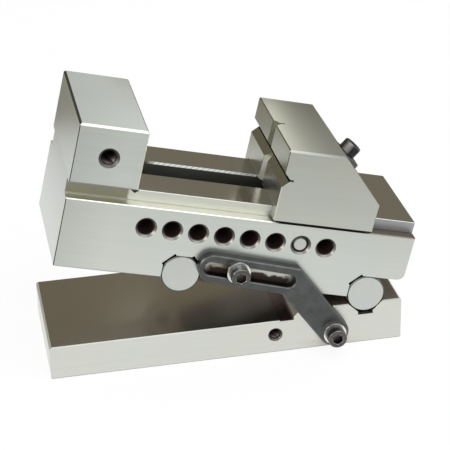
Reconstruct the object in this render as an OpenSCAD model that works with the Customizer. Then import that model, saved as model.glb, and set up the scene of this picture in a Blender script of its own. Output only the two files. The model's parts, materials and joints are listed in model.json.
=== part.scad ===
// Sine vise: a precision toolmaker's vise on two sine rollers, tilted on a hinge block.
// Millimetres. Origin at the middle of the base underside, +X to the hinge end, +Y to the back, +Z up.

/* [Base plate] */
// Length of the base plate
base_l = 185.5; // [160:0.5:260]
// Width of the base plate, the bed and the jaws
body_w = 73; // [60:1:120]
// Thickness of the ground area for gauge blocks
base_thin_h = 18.5; // [16:0.5:30]
// Rise from the gauge block area to the hinge block
step_rise = 5; // [3:0.5:6]
// Hinge axis to the step between the two areas
step_x = 38.5; // [32:0.5:60]
// Upright part of the step below its slope
step_lip = 1.3; // [0.5:0.1:2.5]
// Width of the relief strip beside the step
strip_w = 7.5; // [4:0.5:12]
// Depth of the relief strip
strip_d = 0.4; // [0.2:0.1:1]
// Hinge axis to the hinge end of the base
hinge_end = 19.5; // [17:0.5:30]
// Width of the relief at the foot of the hinge vee
vee_foot_w = 8; // [5:0.5:10]
// Depth of the relief below the roller
vee_foot_d = 2; // [0.5:0.1:3]
// Chamfer on the long edges of the base
base_ch = 0.5; // [0.2:0.1:1]
// Chamfer at the two ends of the base
end_ch = 1.2; // [0.5:0.1:2]
// Chamfer on the upright edges of the base, the bed and the movable jaw
corner_ch = 0.4; // [0.2:0.1:0.8]

/* [Sine rollers] */
// Diameter of both rollers
roller_d = 20; // [16:0.5:24]
// Distance between the two roller axes
roller_c = 100; // [90:1:130]
// Height of gauge blocks that the vise stands at
block_h = 24; // [0:0.5:60]
// Chamfer at the roller ends
roller_ch = 0.6; // [0.2:0.1:1]
// Screws of each roller, in from the bed sides
roller_screw_in = 14.5; // [10:0.5:18]
// Length of the sloping relief in the corners of a roller seat
relief_l = 8.4; // [7:0.1:9]
// Depth of that relief beyond the roller
relief_d = 1.2; // [0.6:0.1:1.6]

/* [Bed] */
// Length of the bed
bed_l = 183.5; // [160:0.5:240]
// Hinge axis to the tail end of the bed
bed_tail = 18.5; // [16:0.5:22]
// Bed underside below the roller axes
bed_drop = 3; // [2:0.5:4]
// Side ledge above the roller axes
ledge_z = 34.5; // [32:0.5:40]
// Rail top above the side ledge
rail_h = 6; // [5:0.5:10]
// Width across the rail
rail_w = 60; // [48:0.5:68]
// Width of the slot between the rails
slot_w = 16; // [15:0.5:20]
// Tail end of the slot to the hinge axis
slot_tail = 4; // [2:0.5:10]
// Thickness of the fixed jaw
fixed_t = 34.5; // [26:0.5:40]
// Depth of the jaws above the rail
jaw_h = 33.5; // [30:0.5:40]
// Height of the side groove above the rail, under the fixed jaw
neck_h = 2; // [1:0.5:4]
// Chamfer on the jaw edges
edge_ch = 1; // [0.5:0.1:1.5]
// Chamfer on the edges of the ledges and the underside
ledge_ch = 0.5; // [0.3:0.1:1]
// Chamfer on the outer edges of the rail
rail_ch = 0.2; // [0.1:0.1:0.5]
// Chamfer on the upper edges of the slot
slot_ch = 1; // [0.5:0.1:1.5]
// Radius of the lower tail corner
tail_r = 4.5; // [3:0.5:6]
// Cut at the foot of the fixed jaw face
foot_cut = 2; // [1:0.1:2.5]

/* [Cross holes] */
// Number of cross holes for the pin
hole_n = 8; // [6:1:8]
// Distance between the cross holes
hole_pitch = 13.5; // [12:0.5:14]
// Fixed jaw face to the first cross hole
hole_first = 8; // [6:0.5:12]
// Cross hole axis above the roller axes
hole_z = 23.4; // [22:0.1:25]
// Diameter of the countersink on each cross hole
hole_cs_d = 10.9; // [9.2:0.1:12]
// Which hole the pin stands in, counted from the fixed jaw
pin_hole = 7; // [5:1:8]
// Diameter of the cross pin
pin_d = 8; // [6:0.5:8]
// Cross pin end below the bed sides
pin_inset = 1; // [0.5:0.1:2]
// Chamfer at the cross pin ends
pin_ch = 0.8; // [0.3:0.1:1.2]

/* [Movable jaw] */
// Pin axis to the jaw face, along the bed
jaw_ahead = 17.5; // [16:0.5:20]
// Length of the jaw on the rail
jaw_l = 53.4; // [48:0.1:58]
// Length of the jaw top
jaw_top_l = 29.6; // [26:0.1:32]
// Mouth of the two vee grooves in the jaw face
vee_w = 8.2; // [6:0.1:9]
// Horizontal vee groove above the rail
vee_z = 17.3; // [14:0.1:20]
// Depth of the slit at the foot of each vee
slit_d = 1.4; // [0.8:0.1:2]
// Width of the slit at the foot of each vee
slit_w = 1; // [0.6:0.1:1.4]
// Jaw side skirts above the ledge
skirt_gap = 0.9; // [0.3:0.1:1.2]
// Radius of the relief in the two inner corners over the rail
jaw_relief = 0.6; // [0.4:0.1:1]

/* [Jaw screw] */
// Thread size of the jaw screw and of the arm screws
m_d = 6; // [5:0.5:6]
// Diameter of the socket heads
head_d = 10; // [8.5:0.5:10]
// Height of the socket heads
head_h = 6; // [5:0.5:6]
// Width across the hexagon socket
hex_af = 5; // [4:0.5:5]
// Length of the jaw screw below its head
jaw_screw_l = 38; // [35:1:38]
// Threaded length of the jaw screw
jaw_thread_l = 22; // [19:1:24]
// Room for the swing of the jaw screw, to either side of it
screw_swing = 2.2; // [2:0.1:2.6]
// Radius of the half round rocker
rocker_r = 6; // [5.5:0.1:6.5]
// Length of the rocker across the vise
rocker_l = 18; // [14:0.5:24]
// Flat of the rocker above its own axis
rocker_flat = 1.6; // [1.2:0.1:2]
// Rocker axis below the sloping face of the jaw
rocker_sink = 0.6; // [0.4:0.1:1]
// Rocker pocket axis below the rocker axis, room for its swing
pocket_drop = 0.15; // [0.1:0.05:0.2]
// Width of the draw bar across the vise
bar_w = 14; // [13:0.5:14]
// Thickness of the draw bar along the vise
bar_t = 12; // [12:0.5:13]
// Pin axis to the upper end of the draw bar
bar_l = 18; // [16:0.5:18]
// Room above the draw bar inside the jaw
bar_room = 3; // [2.5:0.5:4]
// Metal left between the tapped hole of the draw bar and its pin hole
bar_floor = 0.95; // [0.5:0.05:1.2]

/* [Locking arm] */
// Thickness of the arm
arm_t = 5; // [4:0.5:6]
// Width of the arm
arm_w = 15.5; // [14:0.5:18]
// Hinge axis to the arm pivot, along the base
pivot_x = 18; // [17:0.5:20]
// Arm pivot above the base underside
pivot_z = 10.5; // [9:0.5:12]
// Distance from the arm pivot to the spare tapped hole
spare_dx = 30.4; // [26:0.1:36]
// Hinge axis to the lock screw, along the bed
lock_x = 72; // [70:0.5:76]
// Lock screw above the roller axes
lock_z = 7; // [6:0.5:8]
// Slope of the slotted leg, degrees down towards the bend
arm_slope = 17; // [15:0.5:19]
// Lock screw to the bend, along the slot
arm_bend = 29; // [28:0.5:34]
// Lock screw to the inner slot end, along the slot
slot_in = 27.5; // [24:0.5:28]
// Lock screw to the outer slot end, along the slot
slot_out = 14.2; // [14.2:0.1:18]
// Outer slot end to the tip of the arm
arm_tip = 6.7; // [6.5:0.1:9]
// Width of the slot in the arm
arm_slot_w = 7.3; // [7.3:0.1:8]
// Lock screw above the slot middle line in this pose
slot_bias = 0.78; // [0.5:0.02:1]
// Radius inside the bend
bend_r = 6; // [4:0.5:8]
// Chamfer on the front edges of the arm and its slot
arm_ch = 0.5; // [0.3:0.1:1]
// Outer diameter of the washers
washer_d = 12; // [11:0.5:12.5]
// Thickness of the washers
washer_t = 1.6; // [1:0.1:2]
// Length of the arm screws below their heads
arm_screw_l = 20; // [18:1:22]

/* [Tapped holes] */
// Depth of the tapped holes for the arm screws
tap_depth = 18; // [16:1:20]
// Thread size of the tapped hole in the fixed jaw
stop_m_d = 8; // [6:1:8]
// Depth of the tapped hole in the fixed jaw
stop_depth = 16; // [12:1:20]
// Countersink of the tapped hole in the fixed jaw
stop_cs_d = 10.6; // [8.5:0.1:12]
// Countersink of the spare tapped hole in the base
spare_cs_d = 7.7; // [6.4:0.1:9]
// Tap drill of the arm and roller screws as a share of the thread size
tap_share = 0.84; // [0.8:0.01:0.86]
// Tapped hole in the fixed jaw below the jaw top
stop_down = 16.2; // [13:0.1:19]

/* [Roller screws] */
// Thread size of the roller screws
r_m_d = 5; // [4:0.5:5]
// Head diameter of the roller screws
r_head_d = 8.5; // [7:0.5:8.5]
// Head height of the roller screws
r_head_h = 5; // [4:0.5:5]
// Width across the hexagon socket of the roller screws
r_hex_af = 4; // [3:0.5:4]
// Length of the roller screws below their heads
r_screw_l = 20; // [18:0.5:20]
// Heads of the roller screws below the roller surface
r_head_in = 1; // [0.5:0.1:1.5]

/* [Fits] */
// Gap round a turning or sliding shaft, on the radius
run_fit = 0.05; // [0.02:0.01:0.08]
// Gap between flat faces that slide or clamp
flat_fit = 0.03; // [0.02:0.01:0.05]
// Gap between curved faces that only come near each other
near_fit = 0.3; // [0.3:0.05:0.4]
// Gap round a screw in its clearance hole, on the radius
pass_fit = 0.35; // [0.3:0.05:0.5]

/* [Hidden] */
$fn = 96;
// Overlap of joined solids, and how far a cutter runs past a face
eps = 0.01;
over = 1;
// Chamfer of a screw head and taper of a screw tip, as shares of the head height and the core
head_edge = 0.1;
tip_taper = 1 / 3;

// Base and hinge
half_w = body_w / 2;
base_h = base_thin_h + step_rise;
roller_r = roller_d / 2;
hinge_x = base_l / 2 - hinge_end;
hinge_z = base_thin_h + roller_r;
base_left = hinge_end - base_l;
tilt = asin(block_h / roller_c);
vee_apex = hinge_z - (roller_r + run_fit) * sqrt(2);
vee_half = base_h - vee_apex;
vee_foot_z = hinge_z - roller_r - vee_foot_d;

// Bed, measured from the hinge axis
bed_left = bed_tail - bed_l;
rail_z = ledge_z + rail_h;
jaw_z = rail_z + jaw_h;
neck_z = rail_z + neck_h;
fixed_x = bed_left + fixed_t;
relief_out = (roller_r + relief_d + relief_l / 2) / sqrt(2);
relief_in = (roller_r + relief_d - relief_l / 2) / sqrt(2);
relief_foot = roller_r + relief_in - relief_out;
roller_screw_y = half_w - roller_screw_in;
hole_x0 = fixed_x + hole_first;
pin_r = pin_d / 2;
hole_r = pin_r + run_fit;
slot_x0 = hole_x0;
slot_x1 = -slot_tail - slot_w / 2;
pin_x = hole_x0 + (pin_hole - 1) * hole_pitch;

// Movable jaw, measured from the hinge axis
jaw_x = pin_x - jaw_ahead;
jaw_rear = jaw_x + jaw_l;
jaw_top_x = jaw_x + jaw_top_l;
jaw_knee_z = jaw_z - (jaw_rear - jaw_top_x);
rocker_x = (jaw_top_x + jaw_rear) / 2 - rocker_sink / sqrt(2);
rocker_z = (jaw_z + jaw_knee_z) / 2 - rocker_sink / sqrt(2);
jaw_vee_z = rail_z + vee_z;

// Jaw screw line from the pin axis to the rocker axis
screw_turn = atan2(rocker_x - pin_x, rocker_z - hole_z);
screw_run = norm([rocker_x - pin_x, rocker_z - hole_z]);
screw_under = screw_run + rocker_flat;
tap_r = m_d * tap_share / 2;
core_r = tap_r - run_fit;
shank_r = m_d / 2;
pass_r = shank_r + pass_fit;
pocket_r = rocker_r + near_fit;
pocket_top = bar_l * cos(screw_turn) + bar_t / 2 * sin(screw_turn) + hole_z + bar_room;

// Locking arm in the base frame
lock_bx = lock_z * sin(tilt) - lock_x * cos(tilt);
lock_bz = lock_z * cos(tilt) + lock_x * sin(tilt);
arm_pz = pivot_z - hinge_z;
bend_x = lock_bx + arm_bend * cos(arm_slope) - slot_bias * sin(arm_slope);
bend_z = lock_bz - arm_bend * sin(arm_slope) - slot_bias * cos(arm_slope);
leg_run = norm([bend_x + pivot_x, bend_z - arm_pz]);
leg_slope = atan2(bend_z - arm_pz, -pivot_x - bend_x);
arm_turn = leg_slope - arm_slope;
bend_back = (arm_w / 2 + bend_r) * tan(arm_turn / 2);
arm_y = -half_w - flat_fit;
arm_front = arm_y - arm_t;
washer_y = arm_front - flat_fit;
head_y = washer_y - washer_t - flat_fit;
stop_x = bed_left + fixed_t / 2;
stop_r = stop_m_d / 2;

// Roller screws
r_tap_r = r_m_d * tap_share / 2;
r_core_r = r_tap_r - run_fit;
r_pass_r = r_m_d / 2 + pass_fit;
r_seat_z = r_head_in + r_head_h - roller_r;

// Places children in the tilted bed, measured from the hinge axis.
module in_bed() {
    translate([hinge_x, 0, hinge_z]) rotate([0, tilt, 0]) children();
}

// Places children on the hinge axis in the level base.
module in_base() {
    translate([hinge_x, 0, hinge_z]) children();
}

// Sweeps an X-Z outline across the vise.
module across(w) {
    rotate([90, 0, 0]) linear_extrude(height = w, center = true) children();
}

// Sweeps a Y-Z outline along the vise from x0 to x1.
module along(x0, x1) {
    translate([x0, 0, 0]) rotate([90, 0, 90]) linear_extrude(height = x1 - x0) children();
}

// A block wider than the vise from z0 to z1, whose corners chamfer the upright edges at x0 and x1.
module upright(x0, x1, z0, z1) {
    y = half_w + over;
    cut = corner_ch + over;
    translate([0, 0, z0]) linear_extrude(height = z1 - z0) polygon([
        [x0 + cut, -y],
        [x1 - cut, -y],
        [x1 + over, cut - half_w],
        [x1 + over, half_w - cut],
        [x1 - cut, y],
        [x0 + cut, y],
        [x0 - over, half_w - cut],
        [x0 - over, cut - half_w]
    ]);
}

// A round bar from the point (x, y, z) towards +Y.
module bar_y(x, y, z, r, l) {
    translate([x, y, z]) rotate([-90, 0, 0]) cylinder(r = r, h = l);
}

// A round bar across the vise from y = 0 towards +Y, chamfered at both ends.
module chamfered_bar(r, l, ch) {
    rotate([-90, 0, 0]) rotate_extrude() polygon([
        [0, 0],
        [r - ch, 0],
        [r, ch],
        [r, l - ch],
        [r - ch, l],
        [0, l]
    ]);
}

// A blind tapped hole into a front side face, with its countersink.
module front_tap(x, z, r, depth, cs_r) {
    bar_y(x, -half_w, z, r, depth);
    translate([x, -half_w - eps, z]) rotate([-90, 0, 0])
        cylinder(r1 = cs_r + eps, r2 = r, h = cs_r - r + eps);
}

// A socket head cap screw standing on +Z with the underside of its head at zero.
// It has a plain shank of radius r above the thread, or none where r is the core radius.
module cap_screw(hd, hh, af, r, l, core, thread_l) {
    edge = hh * head_edge;
    taper = core * tip_taper;
    shank = r > core ? [[core, thread_l - l], [r, thread_l - l], [r, 0]] : [[core, 0]];
    difference() {
        rotate_extrude() polygon(concat(
            [[0, -l], [core - taper, -l], [core, taper - l]],
            shank,
            [[hd / 2, 0], [hd / 2, hh - edge], [hd / 2 - edge, hh], [0, hh]]
        ));
        translate([0, 0, hh / 2]) cylinder(d = af / cos(30), h = hh, $fn = 6);
    }
}

// A plain washer standing on +Z.
module washer() {
    difference() {
        cylinder(r = washer_d / 2, h = washer_t);
        translate([0, 0, -eps]) cylinder(r = pass_r, h = washer_t + 2 * eps);
    }
}

// Outline of the base seen from the front, measured from the hinge axis along X.
module base_outline() {
    slope = step_rise - step_lip;
    polygon([
        [base_left, 0],
        [hinge_end, 0],
        [hinge_end, base_h - end_ch],
        [hinge_end - end_ch, base_h],
        [vee_half, base_h],
        [vee_foot_w / 2, vee_apex + vee_foot_w / 2],
        [vee_foot_w / 2, vee_foot_z],
        [-vee_foot_w / 2, vee_foot_z],
        [-vee_foot_w / 2, vee_apex + vee_foot_w / 2],
        [-vee_half, base_h],
        [slope - step_x, base_h],
        [-step_x, base_thin_h + step_lip],
        [-step_x, base_thin_h - strip_d],
        [-step_x - strip_w, base_thin_h - strip_d],
        [-step_x - strip_w, base_thin_h],
        [base_left + end_ch, base_thin_h],
        [base_left, base_thin_h - end_ch]
    ]);
}

// Outline of a slab of height h seen from the end, with chamfered long edges.
module slab_outline(h, ch) {
    polygon([
        [-half_w + ch, 0],
        [half_w - ch, 0],
        [half_w, ch],
        [half_w, h - ch],
        [half_w - ch, h],
        [-half_w + ch, h],
        [-half_w, h - ch],
        [-half_w, ch]
    ]);
}

module base_plate() {
    color([0.62, 0.63, 0.60])
    difference() {
        translate([hinge_x, 0, 0]) intersection() {
            across(body_w + 2 * over) base_outline();
            union() {
                along(base_left - over, -step_x) slab_outline(base_thin_h, base_ch);
                along(-step_x - strip_w, hinge_end + over) slab_outline(base_h, base_ch);
            }
            upright(base_left, hinge_end, -over, base_h + over);
        }
        translate([hinge_x, 0, hinge_z]) {
            front_tap(-pivot_x, arm_pz, tap_r, tap_depth, shank_r);
            front_tap(-pivot_x - spare_dx, arm_pz, shank_r, tap_depth, spare_cs_d / 2);
        }
    }
}

// Bed outline seen from the front, up to the rail top, with the relief in the corners of the seats.
module bed_outline() {
    polygon([
        [bed_left + ledge_ch, -bed_drop],
        [-roller_c - roller_r, -bed_drop],
        [-roller_c - roller_r, relief_foot],
        [-roller_c - relief_out, relief_in],
        [-roller_c - relief_in, relief_out],
        [-roller_c - relief_foot, roller_r],
        [-roller_c + relief_foot, roller_r],
        [-roller_c + relief_in, relief_out],
        [-roller_c + relief_out, relief_in],
        [-roller_c + roller_r + near_fit, relief_foot + near_fit],
        [-roller_c + roller_r + near_fit, -bed_drop],
        [-roller_r, -bed_drop],
        [-roller_r, relief_foot],
        [-relief_out, relief_in],
        [-relief_in, relief_out],
        [-relief_foot, roller_r],
        [bed_tail, roller_r],
        [bed_tail, rail_z],
        [bed_left, rail_z],
        [bed_left, ledge_ch - bed_drop]
    ]);
}

// Bed outline seen from the end: lower body, chamfered ledges and the rail.
module bed_section() {
    ch = ledge_ch;
    foot = ledge_ch;
    polygon([
        [-half_w + ch, -bed_drop],
        [half_w - ch, -bed_drop],
        [half_w, ch - bed_drop],
        [half_w, ledge_z - ch],
        [half_w - ch, ledge_z],
        [rail_w / 2 + foot, ledge_z],
        [rail_w / 2 + foot, ledge_z - foot],
        [rail_w / 2, ledge_z - foot],
        [rail_w / 2, rail_z - rail_ch],
        [rail_w / 2 - rail_ch, rail_z],
        [-rail_w / 2 + rail_ch, rail_z],
        [-rail_w / 2, rail_z - rail_ch],
        [-rail_w / 2, ledge_z - foot],
        [-rail_w / 2 - foot, ledge_z - foot],
        [-rail_w / 2 - foot, ledge_z],
        [-half_w + ch, ledge_z],
        [-half_w, ledge_z - ch],
        [-half_w, ch - bed_drop]
    ]);
}

// The fixed jaw block above the side groove.
module fixed_jaw() {
    intersection() {
        across(body_w + 2 * over) polygon([
            [bed_left, neck_z],
            [fixed_x, neck_z],
            [fixed_x, jaw_z - edge_ch],
            [fixed_x - edge_ch, jaw_z],
            [bed_left + edge_ch, jaw_z],
            [bed_left, jaw_z - edge_ch]
        ]);
        along(bed_left - over, fixed_x + over) translate([0, neck_z])
            slab_outline(jaw_z - neck_z, edge_ch);
        upright(bed_left, fixed_x, neck_z - over, jaw_z + over);
    }
    translate([bed_left, -rail_w / 2, rail_z - edge_ch])
        cube([fixed_t, rail_w, neck_h + 2 * edge_ch]);
}

// One cross hole with a countersink at both ends.
module cross_hole(x) {
    cs = hole_cs_d / 2;
    bar_y(x, -half_w - over, hole_z, hole_r, body_w + 2 * over);
    translate([x, -half_w - eps, hole_z]) rotate([-90, 0, 0])
        cylinder(r1 = cs + eps, r2 = hole_r, h = cs - hole_r + eps);
    translate([x, half_w + eps, hole_z]) rotate([90, 0, 0])
        cylinder(r1 = cs + eps, r2 = hole_r, h = cs - hole_r + eps);
}

// Tapped holes above one roller for its two screws.
module roller_taps(x) {
    for (y = [-roller_screw_y, roller_screw_y])
        translate([x, y, roller_r - over])
            cylinder(r = r_tap_r, h = r_screw_l + r_seat_z - roller_r + 2 * over);
}

// Chamfer round the upper edges of the slot.
module slot_edges() {
    foot_y = slot_w / 2;
    top_y = slot_w / 2 + slot_ch + eps;
    foot_z = rail_z - slot_ch;
    top_z = rail_z + eps;
    along(slot_x0, slot_x1) polygon([[-foot_y, foot_z], [foot_y, foot_z], [top_y, top_z], [-top_y, top_z]]);
    for (x = [slot_x0, slot_x1])
        translate([x, 0, foot_z]) cylinder(r1 = foot_y, r2 = top_y, h = slot_ch + eps);
}

module vise_bed() {
    slot_depth = rail_z + bed_drop + 2 * over;
    color([0.68, 0.69, 0.66])
    in_bed() difference() {
        union() {
            intersection() {
                across(body_w + 2 * over) bed_outline();
                along(bed_left - over, bed_tail + over) bed_section();
                upright(bed_left, bed_tail, -bed_drop - over, rail_z + over);
            }
            fixed_jaw();
        }
        // slot between the rails, round at both ends
        translate([0, 0, -bed_drop - over]) {
            translate([slot_x0, -slot_w / 2, 0]) cube([slot_x1 - slot_x0, slot_w, slot_depth]);
            translate([slot_x0, 0, 0]) cylinder(d = slot_w, h = slot_depth);
            translate([slot_x1, 0, 0]) cylinder(d = slot_w, h = slot_depth);
        }
        slot_edges();
        // round lower corner at the tail
        translate([bed_tail - tail_r, 0, roller_r + tail_r]) difference() {
            translate([0, -half_w - over, -tail_r - over])
                cube([tail_r + over, body_w + 2 * over, tail_r + over]);
            bar_y(0, -half_w - 2 * over, 0, tail_r, body_w + 4 * over);
        }
        // cut at the foot of the fixed jaw face
        translate([fixed_x, 0, rail_z]) rotate([0, 45, 0])
            cube([foot_cut, body_w + 2 * over, foot_cut], center = true);
        for (i = [0 : hole_n - 1]) cross_hole(hole_x0 + i * hole_pitch);
        roller_taps(-roller_c);
        roller_taps(0);
        front_tap(-lock_x, lock_z, tap_r, tap_depth, shank_r);
        front_tap(stop_x, jaw_z - stop_down, stop_r, stop_depth, stop_cs_d / 2);
    }
}

// A roller lying across the vise, drilled from below for its two screws.
module roller(x) {
    in_bed() translate([x, 0, 0]) difference() {
        translate([0, -half_w, 0]) chamfered_bar(roller_r, body_w, roller_ch);
        for (y = [-roller_screw_y, roller_screw_y]) translate([0, y, -roller_r - over]) {
            cylinder(r = r_pass_r, h = roller_d + 2 * over);
            cylinder(r = r_head_d / 2 + pass_fit, h = r_seat_z + roller_r + over);
        }
    }
}

module sine_roller() {
    color([0.72, 0.73, 0.71]) roller(-roller_c);
}

module hinge_roller() {
    color([0.72, 0.73, 0.71]) roller(0);
}

// A roller screw entering from below.
module roller_screw(x, y) {
    color([0.12, 0.12, 0.13])
    in_bed() translate([x, y, r_seat_z]) rotate([180, 0, 0])
        cap_screw(r_head_d, r_head_h, r_hex_af, r_core_r, r_screw_l, r_core_r, r_screw_l / 2);
}

module sine_screw_front() {
    roller_screw(-roller_c, -roller_screw_y);
}

module sine_screw_back() {
    roller_screw(-roller_c, roller_screw_y);
}

module hinge_screw_front() {
    roller_screw(0, -roller_screw_y);
}

module hinge_screw_back() {
    roller_screw(0, roller_screw_y);
}

// Jaw outline seen from the front, with the horizontal vee in its face.
module jaw_outline() {
    v = vee_w / 2;
    polygon([
        [jaw_x, ledge_z - over],
        [jaw_rear, ledge_z - over],
        [jaw_rear, jaw_knee_z],
        [jaw_top_x, jaw_z],
        [jaw_x + edge_ch / 2, jaw_z],
        [jaw_x, jaw_z - edge_ch / 2],
        [jaw_x, jaw_vee_z + v],
        [jaw_x + v - slit_w / 2, jaw_vee_z + slit_w / 2],
        [jaw_x + v + slit_d, jaw_vee_z + slit_w / 2],
        [jaw_x + v + slit_d, jaw_vee_z - slit_w / 2],
        [jaw_x + v - slit_w / 2, jaw_vee_z - slit_w / 2],
        [jaw_x, jaw_vee_z - v]
    ]);
}

// Jaw outline seen from the end: it straddles the rail with a skirt on each side.
module jaw_section() {
    in_y = rail_w / 2 + flat_fit;
    skirt_z = ledge_z + skirt_gap;
    seat_z = rail_z + flat_fit;
    polygon([
        [-half_w, skirt_z],
        [-in_y, skirt_z],
        [-in_y, seat_z],
        [in_y, seat_z],
        [in_y, skirt_z],
        [half_w, skirt_z],
        [half_w, jaw_z - edge_ch],
        [half_w - edge_ch, jaw_z],
        [-half_w + edge_ch, jaw_z],
        [-half_w, jaw_z - edge_ch]
    ]);
}

// The vertical vee down the middle of the jaw face.
module jaw_upright_vee() {
    v = vee_w / 2;
    translate([jaw_x, 0, rail_z - over]) linear_extrude(height = jaw_h + 2 * over) polygon([
        [-over, -v - over],
        [v - slit_w / 2, -slit_w / 2],
        [v + slit_d, -slit_w / 2],
        [v + slit_d, slit_w / 2],
        [v - slit_w / 2, slit_w / 2],
        [-over, v + over]
    ]);
}

module movable_jaw() {
    swing = shank_r + screw_swing;
    color([0.68, 0.69, 0.65])
    in_bed() difference() {
        intersection() {
            across(body_w + 2 * over) jaw_outline();
            along(jaw_x - over, jaw_rear + over) jaw_section();
            upright(jaw_x, jaw_rear, ledge_z - over, jaw_z + over);
        }
        jaw_upright_vee();
        // relief in the two inner corners over the rail
        for (s = [-1, 1])
            translate([jaw_x - over, s * rail_w / 2, rail_z]) rotate([0, 90, 0])
                cylinder(r = jaw_relief, h = jaw_l + 2 * over);
        // room for the draw bar under the jaw
        translate([pin_x - bar_t / 2, -slot_w / 2, rail_z - over])
            cube([bar_l + bar_t, slot_w, pocket_top - rail_z + over]);
        // slot for the swing of the screw, then the half round pocket for the rocker
        translate([pin_x, 0, hole_z]) rotate([0, screw_turn, 0])
            translate([-swing, -pass_r, bar_l]) cube([2 * swing, 2 * pass_r, screw_run - bar_l]);
        bar_y(rocker_x, -rocker_l / 2 - near_fit, rocker_z - pocket_drop, pocket_r, rocker_l + 2 * near_fit);
    }
}

// Places children on the jaw screw line, +Z towards the head, from the pin axis.
module on_screw() {
    in_bed() translate([pin_x, 0, hole_z]) rotate([0, screw_turn, 0]) children();
}

module rocker_seat() {
    color([0.20, 0.20, 0.21])
    on_screw() translate([0, 0, screw_run]) difference() {
        bar_y(0, -rocker_l / 2, 0, rocker_r, rocker_l);
        translate([-rocker_r - over, -rocker_l / 2 - over, rocker_flat])
            cube([2 * (rocker_r + over), rocker_l + 2 * over, rocker_r]);
        translate([0, 0, -rocker_r - over]) cylinder(r = pass_r, h = 2 * (rocker_r + over));
    }
}

module jaw_screw() {
    color([0.12, 0.12, 0.13])
    on_screw() translate([0, 0, screw_under + flat_fit])
        cap_screw(head_d, head_h, hex_af, shank_r, jaw_screw_l, core_r, jaw_thread_l);
}

module draw_bar() {
    tap_foot = hole_r + bar_floor;
    bar_ch = shank_r - tap_r;
    color([0.35, 0.35, 0.36])
    on_screw() difference() {
        union() {
            bar_y(0, -bar_w / 2, 0, bar_t / 2, bar_w);
            translate([-bar_t / 2, -bar_w / 2, 0]) cube([bar_t, bar_w, bar_l]);
        }
        bar_y(0, -bar_w / 2 - over, 0, hole_r, bar_w + 2 * over);
        translate([0, 0, tap_foot]) cylinder(r = tap_r, h = bar_l);
        translate([0, 0, bar_l - bar_ch]) cylinder(r1 = tap_r, r2 = shank_r + eps, h = bar_ch + eps);
    }
}

module cross_pin() {
    color([0.78, 0.78, 0.77])
    in_bed() translate([pin_x, pin_inset - half_w, hole_z])
        chamfered_bar(pin_r, body_w - 2 * pin_inset, pin_ch);
}

// Places children on the arm pivot, +Z along the plain leg to the bend, +X to the tail.
module on_leg() {
    in_base() translate([-pivot_x, 0, arm_pz]) rotate([0, leg_slope - 90, 0]) children();
}

// Places children on the slot line at the bend, +Z along the slotted leg to its tip.
module on_slot() {
    in_base() translate([bend_x, 0, bend_z]) rotate([0, arm_slope - 90, 0]) children();
}

// A straight strip of the arm from z0 to z1 in the frame of its leg, with chamfered front edges.
module arm_strip(z0, z1) {
    w = arm_w / 2;
    translate([0, 0, z0]) linear_extrude(height = z1 - z0) polygon([
        [-w, arm_y],
        [-w, arm_front + arm_ch],
        [arm_ch - w, arm_front],
        [w - arm_ch, arm_front],
        [w, arm_front + arm_ch],
        [w, arm_y]
    ]);
}

// A round end of the arm about the point z on the line of its leg, with a chamfered front edge.
module arm_round(z) {
    w = arm_w / 2;
    translate([0, arm_y, z]) rotate([90, 0, 0]) rotate_extrude() polygon([
        [0, 0],
        [w, 0],
        [w, arm_t - arm_ch],
        [w - arm_ch, arm_t],
        [0, arm_t]
    ]);
}

// Cuts a round hole of radius r through the arm at the point (x, z) of a leg, with a chamfered front edge.
module arm_hole(x, z, r) {
    bar_y(x, arm_front - over, z, r, arm_t + 2 * over);
    translate([x, arm_front - eps, z]) rotate([-90, 0, 0])
        cylinder(r1 = r + arm_ch + eps, r2 = r, h = arm_ch + eps);
}

// Fills the inside of the bend up to its radius, in the frame of the slotted leg.
module arm_bend_fill() {
    w = arm_w / 2;
    along_leg = [-sin(arm_turn), -cos(arm_turn)] * bend_back;
    to_edge = [-cos(arm_turn), sin(arm_turn)] * w;
    difference() {
        translate([0, arm_y, 0]) rotate([90, 0, 0]) linear_extrude(height = arm_t) polygon([
            [0, 0],
            [0, bend_back],
            [-w, bend_back],
            [-w - bend_r, bend_back],
            along_leg + to_edge,
            along_leg
        ]);
        arm_hole(-w - bend_r, bend_back, bend_r);
    }
}

module locking_arm() {
    slot_a = arm_bend - slot_in;
    slot_b = arm_bend + slot_out;
    slot_r = arm_slot_w / 2;
    end_b = slot_b + arm_tip - arm_w / 2;
    color([0.16, 0.17, 0.17])
    difference() {
        union() {
            on_leg() {
                arm_round(0);
                arm_strip(0, leg_run);
            }
            on_slot() {
                arm_strip(0, end_b);
                arm_round(end_b);
                arm_bend_fill();
            }
            // outer corner of the bend, where the two strips run on until they meet
            intersection() {
                on_leg() arm_strip(leg_run - arm_w, leg_run + arm_w);
                on_slot() arm_strip(-arm_w, arm_w);
            }
        }
        on_leg() bar_y(0, arm_front - over, 0, shank_r + run_fit, arm_t + 2 * over);
        on_slot() {
            arm_hole(0, slot_a, slot_r);
            arm_hole(0, slot_b, slot_r);
            translate([0, 0, slot_a]) linear_extrude(height = slot_b - slot_a) polygon([
                [-slot_r, arm_y + over],
                [-slot_r, arm_front + arm_ch],
                [-slot_r - arm_ch - eps, arm_front - eps],
                [slot_r + arm_ch + eps, arm_front - eps],
                [slot_r, arm_front + arm_ch],
                [slot_r, arm_y + over]
            ]);
        }
    }
}

// A socket head screw entering the front side, head towards -Y.
module arm_screw(x, z, upper_r, thread_l) {
    translate([x, head_y, z]) rotate([90, 0, 0])
        cap_screw(head_d, head_h, hex_af, upper_r, arm_screw_l, core_r, thread_l);
}

module lock_screw() {
    color([0.14, 0.13, 0.14])
    in_bed() arm_screw(-lock_x, lock_z, core_r, arm_screw_l / 2);
}

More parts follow.
